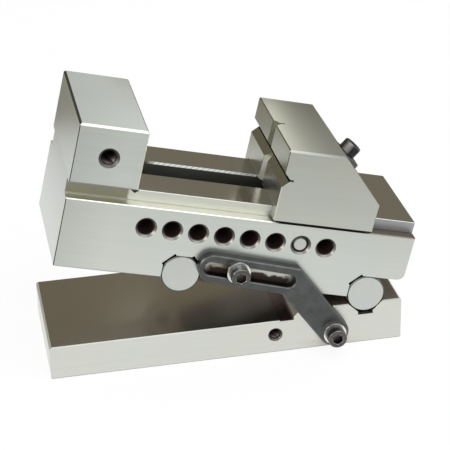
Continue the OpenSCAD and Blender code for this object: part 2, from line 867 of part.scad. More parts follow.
module lock_washer() {
    color([0.80, 0.80, 0.78])
    in_bed() translate([-lock_x, washer_y, lock_z]) rotate([90, 0, 0]) washer();
}

module pivot_screw() {
    shoulder = washer_t + arm_t + flat_fit;
    color([0.14, 0.13, 0.14])
    in_base() arm_screw(-pivot_x, arm_pz, shank_r, arm_screw_l - shoulder);
}

module pivot_washer() {
    color([0.80, 0.80, 0.78])
    in_base() translate([-pivot_x, washer_y, arm_pz]) rotate([90, 0, 0]) washer();
}

base_plate();
vise_bed();
sine_roller();
hinge_roller();
sine_screw_front();
sine_screw_back();
hinge_screw_front();
hinge_screw_back();
movable_jaw();
rocker_seat();
jaw_screw();
draw_bar();
cross_pin();
locking_arm();
lock_screw();
lock_washer();
pivot_screw();
pivot_washer();
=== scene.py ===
"""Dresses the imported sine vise: ground steel, lapped ways, threaded black oxide screws, and a studio."""

import json
import math

import bmesh
import bpy
from mathutils import Matrix, Vector


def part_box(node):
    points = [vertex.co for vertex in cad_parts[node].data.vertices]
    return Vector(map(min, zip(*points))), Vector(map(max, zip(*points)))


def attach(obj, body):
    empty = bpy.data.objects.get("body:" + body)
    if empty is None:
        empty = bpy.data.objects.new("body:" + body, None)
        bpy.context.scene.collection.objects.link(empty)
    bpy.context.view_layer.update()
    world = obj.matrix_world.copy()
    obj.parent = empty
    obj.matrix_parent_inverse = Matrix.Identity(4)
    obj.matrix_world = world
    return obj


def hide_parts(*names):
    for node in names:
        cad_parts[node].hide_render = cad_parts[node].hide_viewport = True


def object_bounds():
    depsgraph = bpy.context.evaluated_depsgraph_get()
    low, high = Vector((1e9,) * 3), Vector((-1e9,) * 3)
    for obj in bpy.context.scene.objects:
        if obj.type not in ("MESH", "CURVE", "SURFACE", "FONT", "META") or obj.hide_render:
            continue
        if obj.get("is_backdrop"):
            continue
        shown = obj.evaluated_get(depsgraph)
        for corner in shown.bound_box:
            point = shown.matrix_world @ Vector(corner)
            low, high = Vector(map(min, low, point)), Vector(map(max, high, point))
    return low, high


bl_info = {
    "name": "Sine Vise Looks",
    "version": (1, 0, 0),
    "blender": (4, 5, 0),
    "location": "3D View > Sidebar > Sine Vise",
    "description": "Finishes, threads and studio for a sine vise on its packed frame",
    "category": "Object",
}

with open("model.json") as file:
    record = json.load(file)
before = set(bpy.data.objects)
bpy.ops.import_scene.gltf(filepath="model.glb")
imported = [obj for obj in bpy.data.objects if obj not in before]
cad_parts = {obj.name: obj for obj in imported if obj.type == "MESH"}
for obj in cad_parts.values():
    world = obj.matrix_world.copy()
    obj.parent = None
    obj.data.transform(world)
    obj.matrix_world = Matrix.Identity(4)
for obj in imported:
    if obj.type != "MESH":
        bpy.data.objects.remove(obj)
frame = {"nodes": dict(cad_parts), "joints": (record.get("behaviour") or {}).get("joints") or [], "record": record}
MM = 0.001

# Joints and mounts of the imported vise, and the axes and the tilt of its bed
JOINTS = {joint["name"]: joint for joint in frame["joints"]}
MOUNTS = {mount["name"]: mount for mount in frame["record"]["mounts"]}
HINGE = Vector(JOINTS["tilt"]["pos_m"])
BED_X = Vector(JOINTS["jaw_slide"]["axis"])
BED_Y = Vector((0, 1, 0))
BED_Z = BED_X.cross(BED_Y)
TILT = math.atan2(-BED_X.z, BED_X.x)
ACROSS = Vector((0, -1, 0))
# Slope of the slot in the locking arm, and the number of cross holes on both sides of the pin
ARM_SLOPE = math.radians(17)
HOLES_BEFORE_PIN = 6
HOLES_AFTER_PIN = 1
# Painted highlight on one side of two screw heads
JAW_SCREW_SHEEN = Vector((-0.46, -0.756, 0.464))
LOCK_SCREW_SHEEN = Vector((-0.25, 0.0, 0.968))
# A face is told by its place, within a slack, and by its direction, as a share along an axis
SLACK = 0.1 * MM
FACING = 0.9
LEVEL = 0.95
SQUARE_ON = 0.97
BEVEL = 0.707
BEVEL_SLACK = 0.1
RADIUS_SLACK = 0.05 * MM
# Roughness of the painted shadow in gaps, matt edges, satin faces, top and left edges, the pale painted shade
# behind the arm's slot, and countersinks
GAP_ROUGHNESS = 0.7
DULL_ROUGHNESS = 0.6
SATIN_ROUGHNESS = 0.5
TOP_EDGE_ROUGHNESS = 0.45
LEFT_EDGE_ROUGHNESS = 0.4
PALE_SHADE_ROUGHNESS = 0.4
COUNTERSINK_ROUGHNESS = 0.38
# Depth of the finest marks in the finishes
MARK_DEPTH = 0.02 * MM
# Slow drift of the ground steel towards a warmer tint
WARM_TINT = (1.02, 1.0, 0.97)


def shade(colour, share):
    """A share of a colour."""
    return [share * part for part in colour]


class SteelSettings(bpy.types.PropertyGroup):
    """Ground, lapped and milled steel of the base, the bed and the jaw."""

    bed_colour: bpy.props.FloatVectorProperty(
        name="Bed Colour", description="Reflected colour of the ground sides of the bed",
        subtype="COLOR", size=3, min=0, max=1, default=(0.60, 0.635, 0.605))
    jaw_colour: bpy.props.FloatVectorProperty(
        name="Jaw Colour", description="Reflected colour of the ground sides of the movable jaw",
        subtype="COLOR", size=3, min=0, max=1, default=(0.545, 0.568, 0.52))
    base_colour: bpy.props.FloatVectorProperty(
        name="Base Colour", description="Reflected colour of the ground sides of the base",
        subtype="COLOR", size=3, min=0, max=1, default=(0.64, 0.655, 0.615))
    lapped_colour: bpy.props.FloatVectorProperty(
        name="Lapped Colour", description="Reflected colour of the lapped ways",
        subtype="COLOR", size=3, min=0, max=1, default=(0.53, 0.515, 0.46))
    rail_side_colour: bpy.props.FloatVectorProperty(
        name="Rail Side Colour", description="Reflected colour of the bright rail sides",
        subtype="COLOR", size=3, min=0, max=1, default=(0.64, 0.655, 0.595))
    # Painted light: the ledges beside the rail, brighter than the steel can reflect
    lit_ledge_colour: bpy.props.FloatVectorProperty(
        name="Ledge Colour", description="Reflected colour of the bright ledges beside the rail",
        subtype="COLOR", size=3, min=0, max=1, default=(0.87, 0.865, 0.78))
    # Painted shadow of the fixed jaw on the rail side below it
    groove_shadow_colour: bpy.props.FloatVectorProperty(
        name="Dull Colour", description="Reflected colour of the side groove under the fixed jaw",
        subtype="COLOR", size=3, min=0, max=1, default=(0.27, 0.265, 0.20))
    # Painted shadow of the fixed jaw on the ledge below it
    ledge_shadow_colour: bpy.props.FloatVectorProperty(
        name="Dull Ledge Colour", description="Reflected colour of the ledge under the fixed jaw",
        subtype="COLOR", size=3, min=0, max=1, default=(0.70, 0.69, 0.56))
    # Oil film with painted shade on the rail sides behind the movable jaw
    oily_side_shade_colour: bpy.props.FloatVectorProperty(
        name="Oily Side Colour", description="Reflected colour of the rail sides behind the movable jaw",
        subtype="COLOR", size=3, min=0, max=1, default=(0.38, 0.395, 0.40))
    # Oil film with painted shade on the ledges under and behind the movable jaw, and on the hinge block
    oil_and_shade_colour: bpy.props.FloatVectorProperty(
        name="Oily Ledge Colour", description="Brown oil film on the ledges under and behind the movable jaw",
        subtype="COLOR", size=3, min=0, max=1, default=(0.20, 0.165, 0.135))
    # Painted shadow along the lower part of the slot of the locking arm
    arm_slot_shadow_colour: bpy.props.FloatVectorProperty(
        name="Smear Colour", description="Brown oil on the bed behind the slot of the locking arm",
        subtype="COLOR", size=3, min=0, max=1, default=(0.05, 0.032, 0.025))
    # Pale painted shade on the bed behind the slot of the locking arm
    arm_slot_pale_shade_colour: bpy.props.FloatVectorProperty(
        name="Film Colour", description="Beige oil film on the bed behind the slot of the locking arm",
        subtype="COLOR", size=3, min=0, max=1, default=(0.42, 0.38, 0.29))
    # Painted shade on the walls of the slot in the rail
    slot_shade_colour: bpy.props.FloatVectorProperty(
        name="Slot Colour", description="Reflected colour of the walls of the slot in the rail",
        subtype="COLOR", size=3, min=0, max=1, default=(0.34, 0.345, 0.315))
    bore_colour: bpy.props.FloatVectorProperty(
        name="Bore Colour", description="Colour of the countersinks, darker in the bores",
        subtype="COLOR", size=3, min=0, max=1, default=(0.235, 0.23, 0.22))
    # Painted shade deep in holes, slits and corners, where the surface is enclosed
    recess_shade_colour: bpy.props.FloatVectorProperty(
        name="Recess Colour", description="Oil dark colour deep in holes, slits and corners",
        subtype="COLOR", size=3, min=0, max=1, default=(0.065, 0.040, 0.036))
    # Painted shadow in the slits, in the relief at the fixed jaw's foot and in the gap under the movable jaw
    gap_shadow_colour: bpy.props.FloatVectorProperty(
        name="Gap Colour", description="Black oil in the slits and the gap under the movable jaw",
        subtype="COLOR", size=3, min=0, max=1, default=(0.014, 0.011, 0.009))
    # Painted shade on the bed underside
    underside_shade_colour: bpy.props.FloatVectorProperty(
        name="Underside Colour", description="Oily colour of the bed underside",
        subtype="COLOR", size=3, min=0, max=1, default=(0.30, 0.286, 0.292))
    oil_share: bpy.props.FloatProperty(
        name="Oil Share", description="Share of matt oil in recesses and on top of the hinge block",
        subtype="FACTOR", min=0, max=1, default=0.45)
    # Painted shade on the left bevels of the bed and in the lower corner of the sine roller's seat
    bevel_and_corner_shade_colour: bpy.props.FloatVectorProperty(
        name="Dark Edge Colour",
        description="Dark colour of the left bevels of the bed and of its oily corner",
        subtype="COLOR", size=3, min=0, max=1, default=(0.10, 0.09, 0.08))
    side_roughness: bpy.props.FloatProperty(
        name="Side Roughness", description="Roughness of the ground sides",
        subtype="FACTOR", min=0, max=1, default=0.31)
    lapped_roughness: bpy.props.FloatProperty(
        name="Lapped Roughness", description="Roughness of the rail tops",
        subtype="FACTOR", min=0, max=1, default=0.11)
    gauge_roughness: bpy.props.FloatProperty(
        name="Gauge Roughness", description="Roughness of the gauge block area on the base",
        subtype="FACTOR", min=0, max=1, default=0.22)
    gauge_colour: bpy.props.FloatVectorProperty(
        name="Gauge Colour", description="Reflected colour of the gauge block area on the base",
        subtype="COLOR", size=3, min=0, max=1, default=(0.47, 0.435, 0.365))
    barrel_colour: bpy.props.FloatVectorProperty(
        name="Barrel Colour", description="Reflected colour of the barrels of the rollers and the pin",
        subtype="COLOR", size=3, min=0, max=1, default=(0.42, 0.39, 0.355))
    # Painted shade on the lower rims of the rollers and the pin
    lower_rim_shade_colour: bpy.props.FloatVectorProperty(
        name="Rim Colour", description="Oily colour of the lower rims of the rollers and the pin",
        subtype="COLOR", size=3, min=0, max=1, default=(0.12, 0.102, 0.094))
    rim_roughness: bpy.props.FloatProperty(
        name="Rim Roughness", description="Roughness of the rims and barrels of the rollers and the pin",
        subtype="FACTOR", min=0, max=1, default=0.6)
    round_colour: bpy.props.FloatVectorProperty(
        name="Round Colour", description="Reflected colour of the ends of the rollers and the pin",
        subtype="COLOR", size=3, min=0, max=1, default=(0.56, 0.58, 0.555))
    round_roughness: bpy.props.FloatProperty(
        name="Round Roughness", description="Roughness of the ends of the rollers and the pin",
        subtype="FACTOR", min=0, max=1, default=0.22)
    # Painted shade on the slanted facets of the jaw's vees
    vee_shade_colour: bpy.props.FloatVectorProperty(
        name="Vee Colour", description="Reflected colour of the facets of the jaw's vees",
        subtype="COLOR", size=3, min=0, max=1, default=(0.37, 0.36, 0.28))
    vee_roughness: bpy.props.FloatProperty(
        name="Vee Roughness", description="Roughness of the top and the vee grooves of the movable jaw",
        subtype="FACTOR", min=0, max=1, default=0.2)
    jaw_top_roughness: bpy.props.FloatProperty(
        name="Fixed Jaw Top Roughness", description="Roughness of the top of the fixed jaw",
        subtype="FACTOR", min=0, max=1, default=0.27)
    milled_roughness: bpy.props.FloatProperty(
        name="Milled Roughness", description="Roughness of the ledges, the rail sides and the slot",
        subtype="FACTOR", min=0, max=1, default=0.38)
    rail_height: bpy.props.FloatProperty(
        name="Rail Height", description="Rail top above the roller axes",
        unit="LENGTH", min=0, default=40.5 * MM)
    rail_half_width: bpy.props.FloatProperty(
        name="Rail Half Width", description="Rail side from the middle of the bed",
        unit="LENGTH", min=0, default=30 * MM)
    slot_half_width: bpy.props.FloatProperty(
        name="Slot Half Width", description="Slot wall from the middle of the bed",
        unit="LENGTH", min=0, default=8 * MM)
    cutter_pitch: bpy.props.FloatProperty(
        name="Cutter Pitch", description="Distance between the cutter marks on the bevelled slot edges",
        unit="LENGTH", min=0, default=3.0 * MM)
    bed_left: bpy.props.FloatProperty(
        name="Bed Left", description="Hinge axis to the left end of the bed",
        unit="LENGTH", default=-165 * MM)
    jaw_inner: bpy.props.FloatProperty(
        name="Fixed Jaw Inner", description="Hinge axis to the inner face of the fixed jaw",
        unit="LENGTH", default=-130.5 * MM)
    # Painted shadow: how far the dark patch of the relief at the fixed jaw's foot reaches down the rail side
    relief_depth: bpy.props.FloatProperty(
        name="Relief Depth", description="Depth of the oily relief at the foot of the fixed jaw",
        unit="LENGTH", min=0, default=2.0 * MM)
    slot_start: bpy.props.FloatProperty(
        name="Slot Start", description="Hinge axis to the closed end of the slot",
        unit="LENGTH", default=-122.5 * MM)
    slot_end: bpy.props.FloatProperty(
        name="Slot End", description="Hinge axis to the other end of the slot",
        unit="LENGTH", default=-4 * MM)
    # Painted shadow: where the fixed jaw's shadow on the rail side and the ledge ends
    jaw_shadow_end: bpy.props.FloatProperty(
        name="Dull End", description="Hinge axis to the end of the dull stretch under the fixed jaw",
        unit="LENGTH", default=-133.5 * MM)
    # Oil film with painted shade: where it starts under the movable jaw
    oil_shade_start: bpy.props.FloatProperty(
        name="Oil Start", description="Hinge axis to the start of the oil film under the movable jaw",
        unit="LENGTH", default=-58 * MM)
    # Painted shadow: where the shadow in the gap under the movable jaw ends
    gap_shadow_end: bpy.props.FloatProperty(
        name="Oil End", description="Hinge axis to the end of the black oil under the movable jaw",
        unit="LENGTH", default=-8 * MM)
    vee_height: bpy.props.FloatProperty(
        name="Vee Height", description="Horizontal vee of the movable jaw above the roller axes",
        unit="LENGTH", min=0, default=57.8 * MM)
    vee_foot: bpy.props.FloatProperty(
        name="Vee Foot", description="Hinge axis to the slits at the feet of the jaw's vees",
        unit="LENGTH", default=-55.4 * MM)
    seat_side: bpy.props.FloatProperty(
        name="Seat Side", description="Hinge axis to the inner side of the sine roller's seat",
        unit="LENGTH", default=-90 * MM)
    # Painted shade: how high the dark in the lower corner of the seat reaches
    seat_reach: bpy.props.FloatProperty(
        name="Seat Oil Reach",
        description="Height of the oil in the lower corner of that seat, from the roller axes",
        unit="LENGTH", default=3 * MM)
    ledge_height: bpy.props.FloatProperty(
        name="Ledge Height", description="Side ledge above the roller axes",
        unit="LENGTH", min=0, default=34.5 * MM)
    jaw_height: bpy.props.FloatProperty(
        name="Jaw Height", description="Jaw tops above the roller axes",
        unit="LENGTH", min=0, default=74 * MM)
    gauge_height: bpy.props.FloatProperty(
        name="Gauge Height", description="Gauge block area above the base underside",
        unit="LENGTH", min=0, default=18.5 * MM)
    strip_depth: bpy.props.FloatProperty(
        name="Strip Depth", description="Depth of the relief strip beside the step of the base",
        unit="LENGTH", min=0, default=0.4 * MM)
    strip_colour: bpy.props.FloatVectorProperty(
        name="Strip Colour", description="Reflected colour of the oily relief strip",
        subtype="COLOR", size=3, min=0, max=1, default=(0.40, 0.30, 0.26))
    hole_pitch: bpy.props.FloatProperty(
        name="Hole Pitch", description="Distance between the cross holes",
        unit="LENGTH", min=0, default=13.5 * MM)
    # Painted shade: radius up to which the dark of a cross hole's bore is painted over its countersink
    bore_shade_radius: bpy.props.FloatProperty(
        name="Bore Shade Radius",
        description="Radius up to which the oil of a cross hole darkens its countersink",
        unit="LENGTH", min=0, default=4.45 * MM)
    countersink_radius: bpy.props.FloatProperty(
        name="Countersink Radius", description="Radius of the countersinks on the cross holes",
        unit="LENGTH", min=0, default=5.45 * MM)
    grain_width: bpy.props.FloatProperty(
        name="Grain Width", description="Distance between grinding lines",
        unit="LENGTH", min=0, default=0.5 * MM)
    grain_length: bpy.props.FloatProperty(
        name="Grain Length", description="Length of the grinding lines",
        unit="LENGTH", min=0, default=18 * MM)
    edge_radius: bpy.props.FloatProperty(
        name="Edge Radius", description="Broken edge that catches the light",
        unit="LENGTH", min=0, default=0.2 * MM)
    recess_reach: bpy.props.FloatProperty(
        name="Recess Reach", description="How near a facing wall has to be to count as a recess",
        unit="LENGTH", min=0, default=12 * MM)


class BlackSettings(bpy.types.PropertyGroup):
    """Black oxide of the arm and the screws, and the bright washers."""

    arm_colour: bpy.props.FloatVectorProperty(
        name="Arm Colour", description="Reflected colour of the locking arm",
        subtype="COLOR", size=3, min=0, max=1, default=(0.094, 0.099, 0.096))
    screw_colour: bpy.props.FloatVectorProperty(
        name="Screw Colour", description="Reflected colour of the screws",
        subtype="COLOR", size=3, min=0, max=1, default=(0.113, 0.107, 0.102))
    # Painted shade: a darker copy of the screw oxide for the jaw screw
    jaw_screw_shade_colour: bpy.props.FloatVectorProperty(
        name="Jaw Screw Colour", description="Reflected colour of the jaw screw",
        subtype="COLOR", size=3, min=0, max=1, default=(0.042, 0.042, 0.045))
    rocker_colour: bpy.props.FloatVectorProperty(
        name="Rocker Colour", description="Reflected colour of the rocker seat and the draw bar",
        subtype="COLOR", size=3, min=0, max=1, default=(0.19, 0.18, 0.17))
    # Bare metal on rubbed edges, also the painted highlight on edges, rims and one side of a head
    rub_and_sheen_colour: bpy.props.FloatVectorProperty(
        name="Rub Colour", description="Bare metal where an edge of the oxide has rubbed off",
        subtype="COLOR", size=3, min=0, max=1, default=(0.56, 0.55, 0.53))
    washer_colour: bpy.props.FloatVectorProperty(
        name="Washer Colour", description="Reflected colour of the washers",
        subtype="COLOR", size=3, min=0, max=1, default=(0.84, 0.84, 0.81))
    arm_roughness: bpy.props.FloatProperty(
        name="Arm Roughness", description="Roughness of the locking arm",
        subtype="FACTOR", min=0, max=1, default=0.34)
    screw_roughness: bpy.props.FloatProperty(
        name="Screw Roughness", description="Roughness of the screws",
        subtype="FACTOR", min=0, max=1, default=0.25)
    jaw_screw_roughness: bpy.props.FloatProperty(
        name="Jaw Screw Roughness", description="Roughness of the jaw screw",
        subtype="FACTOR", min=0, max=1, default=0.2)
    rocker_roughness: bpy.props.FloatProperty(
        name="Rocker Roughness", description="Roughness of the rocker seat and the draw bar",
        subtype="FACTOR", min=0, max=1, default=0.4)
    washer_roughness: bpy.props.FloatProperty(
        name="Washer Roughness", description="Roughness of the washers",
        subtype="FACTOR", min=0, max=1, default=0.22)
    arm_edge_radius: bpy.props.FloatProperty(
        name="Arm Edge Radius", description="Rubbed edge of the locking arm",
        unit="LENGTH", min=0, default=0.4 * MM)
    screw_edge_radius: bpy.props.FloatProperty(
        name="Screw Edge Radius", description="Rubbed edges of the screws",
        unit="LENGTH", min=0, default=0.15 * MM)
    edge_radius: bpy.props.FloatProperty(
        name="Edge Radius", description="Edges of the rocker seat, the draw bar and the washers",
        unit="LENGTH", min=0, default=0.2 * MM)
    # Painted shade in the sockets, slots and corners of the oxide
    recess_shade_colour: bpy.props.FloatVectorProperty(
        name="Recess Colour", description="Oil dark colour in the sockets, slots and corners",
        subtype="COLOR", size=3, min=0, max=1, default=(0.022, 0.014, 0.012))
    recess_reach: bpy.props.FloatProperty(
        name="Recess Reach", description="How near a facing wall has to be to count as a recess",
        unit="LENGTH", min=0, default=9 * MM)


class ScrewSettings(bpy.types.PropertyGroup):
    """Threads, knurls and sockets of the screws."""

    pitch: bpy.props.FloatProperty(
        name="Screw Pitch", description="Thread pitch of the jaw screw and the arm screws",
        unit="LENGTH", min=0, default=1.0 * MM)
    roller_pitch: bpy.props.FloatProperty(
        name="Roller Screw Pitch", description="Thread pitch of the roller screws",
        unit="LENGTH", min=0, default=0.8 * MM)
    stop_pitch: bpy.props.FloatProperty(
        name="Stop Pitch", description="Thread pitch of the tapped hole in the fixed jaw",
        unit="LENGTH", min=0, default=1.25 * MM)
    thread_depth: bpy.props.FloatProperty(
        name="Thread Depth", description="Depth of a thread as a share of its pitch",
        subtype="FACTOR", min=0, max=1, default=0.45)
    tapped_depth: bpy.props.FloatProperty(
        name="Tapped Depth", description="Depth of the thread in the tapped holes as a share of their radius",
        subtype="FACTOR", min=0, max=1, default=0.16)
    tapped_inset: bpy.props.FloatProperty(
        name="Tapped Inset", description="Start of the thread in the tapped holes behind the front side",
        unit="LENGTH", min=0, default=1.4 * MM)
    knurl_depth: bpy.props.FloatProperty(
        name="Knurl Depth", description="Depth of the straight knurl on the heads",
        unit="LENGTH", min=0, default=0.09 * MM)
    socket_width: bpy.props.FloatProperty(
        name="Socket Width", description="Width across a hexagon socket, as a share of the head diameter",
        subtype="FACTOR", min=0, max=1, default=0.5)
    # Painted shade: dark tone of the threads deep in the tapped holes
    tapped_shade_colour: bpy.props.FloatVectorProperty(
        name="Tapped Colour", description="Reflected colour of the threads in the tapped holes",
        subtype="COLOR", size=3, min=0, max=1, default=(0.11, 0.088, 0.084))
    tapped_roughness: bpy.props.FloatProperty(
        name="Tapped Roughness", description="Roughness of the threads in the tapped holes",
        subtype="FACTOR", min=0, max=1, default=0.35)
    tapped_edge_radius: bpy.props.FloatProperty(
        name="Tapped Edge Radius", description="Broken edge of the threads in the tapped holes",
        unit="LENGTH", min=0, default=0.05 * MM)


class StageSettings(bpy.types.PropertyGroup):
    """Camera, floor, cards that the steel mirrors, and light."""

    eye: bpy.props.FloatVectorProperty(
        name="Eye", description="Place of the camera in the row frame",
        subtype="TRANSLATION", unit="LENGTH", size=3, default=(-0.135325, -0.769171, 0.447805))
    azimuth: bpy.props.FloatProperty(
        name="Azimuth", description="Camera direction, turned from +Y towards +X",
        subtype="ANGLE", default=math.radians(10.4416))
    elevation: bpy.props.FloatProperty(
        name="Elevation", description="Camera direction below the horizon",
        subtype="ANGLE", default=math.radians(26.4367))
    roll: bpy.props.FloatProperty(
        name="Roll", description="Turn of the picture about the line of sight",
        subtype="ANGLE", default=math.radians(-1.5415))
    lens: bpy.props.FloatProperty(
        name="Lens", description="Focal length on a 36 mm wide sensor",
        unit="CAMERA", default=132.9)
    floor_colour: bpy.props.FloatVectorProperty(
        name="Floor Colour", description="Colour of the pale floor",
        subtype="COLOR", size=3, min=0, max=1, default=(0.86, 0.86, 0.85))
    floor_glow: bpy.props.FloatProperty(
        name="Floor Glow", description="Part of the floor's white that no shadow dims",
        subtype="FACTOR", min=0, max=1, default=0.88)
    floor_shade: bpy.props.FloatProperty(
        name="Floor Shade", description="Part of the floor's white that takes the shadow",
        subtype="FACTOR", min=0, max=1, default=0.14)
    floor_radius: bpy.props.FloatProperty(
        name="Floor Radius", description="Radius of the round floor",
        unit="LENGTH", min=0, default=9.0)
    card_colour: bpy.props.FloatVectorProperty(
        name="Card Colour", description="Colour of the dark cards that the steel mirrors",
        subtype="COLOR", size=3, min=0, max=1, default=(0.25, 0.23, 0.18))
    near_distance: bpy.props.FloatProperty(
        name="Near Card Distance", description="Middle of the vise to the near dark card behind it",
        unit="LENGTH", min=0, default=0.15)
    far_distance: bpy.props.FloatProperty(
        name="Far Card Distance", description="Middle of the vise to the far dark card on the left behind it",
        unit="LENGTH", min=0, default=0.30)
    strip_tone: bpy.props.FloatProperty(
        name="Strip Tone",
        description="Brightness of the light strip on the left that the rounded edges mirror",
        min=0, default=6.0)
    sheet_start: bpy.props.FloatProperty(
        name="Sheet Start", description="Middle of the vise to the near edge of the grey sheet in front",
        unit="LENGTH", min=0, default=0.12)
    sheet_fall: bpy.props.FloatProperty(
        name="Sheet Fall", description="How fast the sheet darkens with each metre to the front",
        min=0, default=1.6)
    world_light: bpy.props.FloatProperty(
        name="World Light", description="Even light from all round",
        min=0, default=0.75)
    key_place: bpy.props.FloatVectorProperty(
        name="Key Place", description="Place of the soft key light",
        subtype="TRANSLATION", unit="LENGTH", size=3, default=(0.34, -0.36, 0.72))
    key_size: bpy.props.FloatProperty(
        name="Key Size", description="Side of the soft key light",
        unit="LENGTH", min=0, default=0.7)
    key_power: bpy.props.FloatProperty(
        name="Key Power", description="Power of the soft key light",
        unit="POWER", min=0, default=2.0)


class Shader:
    """Builds one node material with short calls. A value is a socket to link or a constant to set."""

    def __init__(self, name):
        self.material = bpy.data.materials.new(name)
        self.material.use_nodes = True
        self.tree = self.material.node_tree
        self.surface = self.tree.nodes["Principled BSDF"]

    def node(self, kind, **settings):
        made = self.tree.nodes.new(kind)
        for key, value in settings.items():
            setattr(made, key, value)
        return made

    def put(self, socket, value):
        if isinstance(value, bpy.types.NodeSocket):
            self.tree.links.new(value, socket)
        else:
            socket.default_value = value

    def math(self, operation, *values, clamp=False):
        made = self.node("ShaderNodeMath", operation=operation, use_clamp=clamp)
        for socket, value in zip(made.inputs, values):
            self.put(socket, value)
        return made.outputs[0]

    def vector(self, operation, *values):
        made = self.node("ShaderNodeVectorMath", operation=operation)
        for socket, value in zip(made.inputs, values):
            self.put(socket, value)
        return made.outputs[0]

    def dot(self, first, second):
        made = self.node("ShaderNodeVectorMath", operation="DOT_PRODUCT")
        self.put(made.inputs[0], first)
        self.put(made.inputs[1], second)
        return made.outputs["Value"]

    def times(self, vector, value):
        made = self.node("ShaderNodeVectorMath", operation="SCALE")
        self.put(made.inputs[0], vector)
        self.put(made.inputs["Scale"], value)
        return made.outputs[0]

    def both(self, *masks):
        """1 where all masks are 1."""
        total = masks[0]
        for mask in masks[1:]:
            total = self.math("MULTIPLY", total, mask)
        return total

    def over(self, value, limit):
        """1 where a value is over a limit."""
        return self.math("GREATER_THAN", value, limit)

    def under(self, value, limit):
        """1 where a value is under a limit."""
        return self.math("LESS_THAN", value, limit)

    def near(self, value, target, slack):
        """1 where a value is within a slack of its target."""
        return self.math("COMPARE", value, target, slack)

    def either(self, first, second):
        """The larger of two masks."""
        return self.math("MAXIMUM", first, second)

    def outside(self, mask):
        """1 where a mask is 0, and 0 where it is 1."""
        return self.math("SUBTRACT", 1.0, mask)

    def unsigned(self, value):
        return self.math("ABSOLUTE", value)

    def reach_square(self, side, rise):
        """Square of the distance from an axis, from its two parts."""
        return self.math("ADD", self.math("MULTIPLY", side, side), self.math("MULTIPLY", rise, rise))

    def scaled(self, vector, factors):
        return self.vector("MULTIPLY", vector, factors)

    def parts(self, vector):
        made = self.node("ShaderNodeSeparateXYZ")
        self.put(made.inputs[0], vector)
        return made.outputs

    def mix(self, factor, first, second):
        made = self.node("ShaderNodeMix", data_type="RGBA")
        self.put(made.inputs["Factor"], factor)
        self.put(made.inputs[6], rgba(first))
        self.put(made.inputs[7], rgba(second))
        return made.outputs[2]

    def blend(self, factor, first, second):
        made = self.node("ShaderNodeMix", data_type="FLOAT")
        self.put(made.inputs[0], factor)
        self.put(made.inputs[2], first)
        self.put(made.inputs[3], second)
        return made.outputs[0]

    def ramp(self, value, low, high, to_low=0.0, to_high=1.0):
        made = self.node("ShaderNodeMapRange", clamp=True)
        for socket, given in zip(made.inputs, (value, low, high, to_low, to_high)):
            self.put(socket, given)
        return made.outputs[0]

    def noise(self, vector, scale, detail=2.0):
        made = self.node("ShaderNodeTexNoise")
        self.put(made.inputs["Vector"], vector)
        self.put(made.inputs["Scale"], scale)
        self.put(made.inputs["Detail"], detail)
        return made.outputs["Fac"]

    def place(self):
        """Object coordinates in metres, which stay with a piece as it moves."""
        return self.node("ShaderNodeTexCoord").outputs["Object"]

    def facing(self):
        """Normal in object coordinates."""
        return self.node("ShaderNodeTexCoord").outputs["Normal"]

    def in_bed(self, vector, move=True):
        """Turns row coordinates into bed coordinates, measured from the hinge axis."""
        turned = self.node("ShaderNodeVectorRotate", rotation_type="Y_AXIS")
        self.put(turned.inputs["Vector"], self.vector("SUBTRACT", vector, HINGE) if move else vector)
        self.put(turned.inputs["Angle"], -TILT)
        return turned.outputs[0]

    def broken_edge(self, radius, samples=4):
        made = self.node("ShaderNodeBevel", samples=samples)
        self.put(made.inputs["Radius"], radius)
        return made.outputs[0]

    def flat(self):
        """Normal of the face itself."""
        return self.node("ShaderNodeNewGeometry").outputs["Normal"]

    def lean(self, factor, first, second):
        made = self.node("ShaderNodeMix", data_type="VECTOR")
        self.put(made.inputs[0], factor)
        self.put(made.inputs[4], first)
        self.put(made.inputs[5], second)
        return made.outputs[1]

    def bump(self, height, strength, distance, normal):
        made = self.node("ShaderNodeBump")
        self.put(made.inputs["Height"], height)
        self.put(made.inputs["Strength"], strength)
        self.put(made.inputs["Distance"], distance)
        self.put(made.inputs["Normal"], normal)
        return made.outputs[0]

    def openness(self, reach, samples=8):
        """1 on an open face, falling to 0 deep in a recess."""
        made = self.node("ShaderNodeAmbientOcclusion", samples=samples)
        self.put(made.inputs["Distance"], reach)
        return made.outputs["AO"]

    def finish(self, colour, roughness, normal, metallic=1.0):
        self.put(self.surface.inputs["Base Color"], rgba(colour))
        self.put(self.surface.inputs["Roughness"], roughness)
        self.put(self.surface.inputs["Normal"], normal)
        self.put(self.surface.inputs["Metallic"], metallic)
        return self.material


def rgba(colour):
    """A colour with its alpha, or the socket that was given."""
    return colour if isinstance(colour, bpy.types.NodeSocket) else (*colour[:3], 1.0)


def dress(node, material):
    """Gives every material slot of a CAD node one material."""
    for held in frame["nodes"][node].material_slots:
        held.material = material


def grain(shader, place, ends, settings):
    """Grinding lines along X, or along Y on the end faces: a fine set and a longer, softer set."""
    across = 1 / settings.grain_width
    along = 1 / settings.grain_length
    lines = shader.mix(ends, (along, across, across), (across, along, across))
    stretched = shader.scaled(place, lines)
    fine = shader.noise(stretched, 1.0, 3.0)
    soft = shader.noise(stretched, 0.22, 2.0)
    return fine, soft


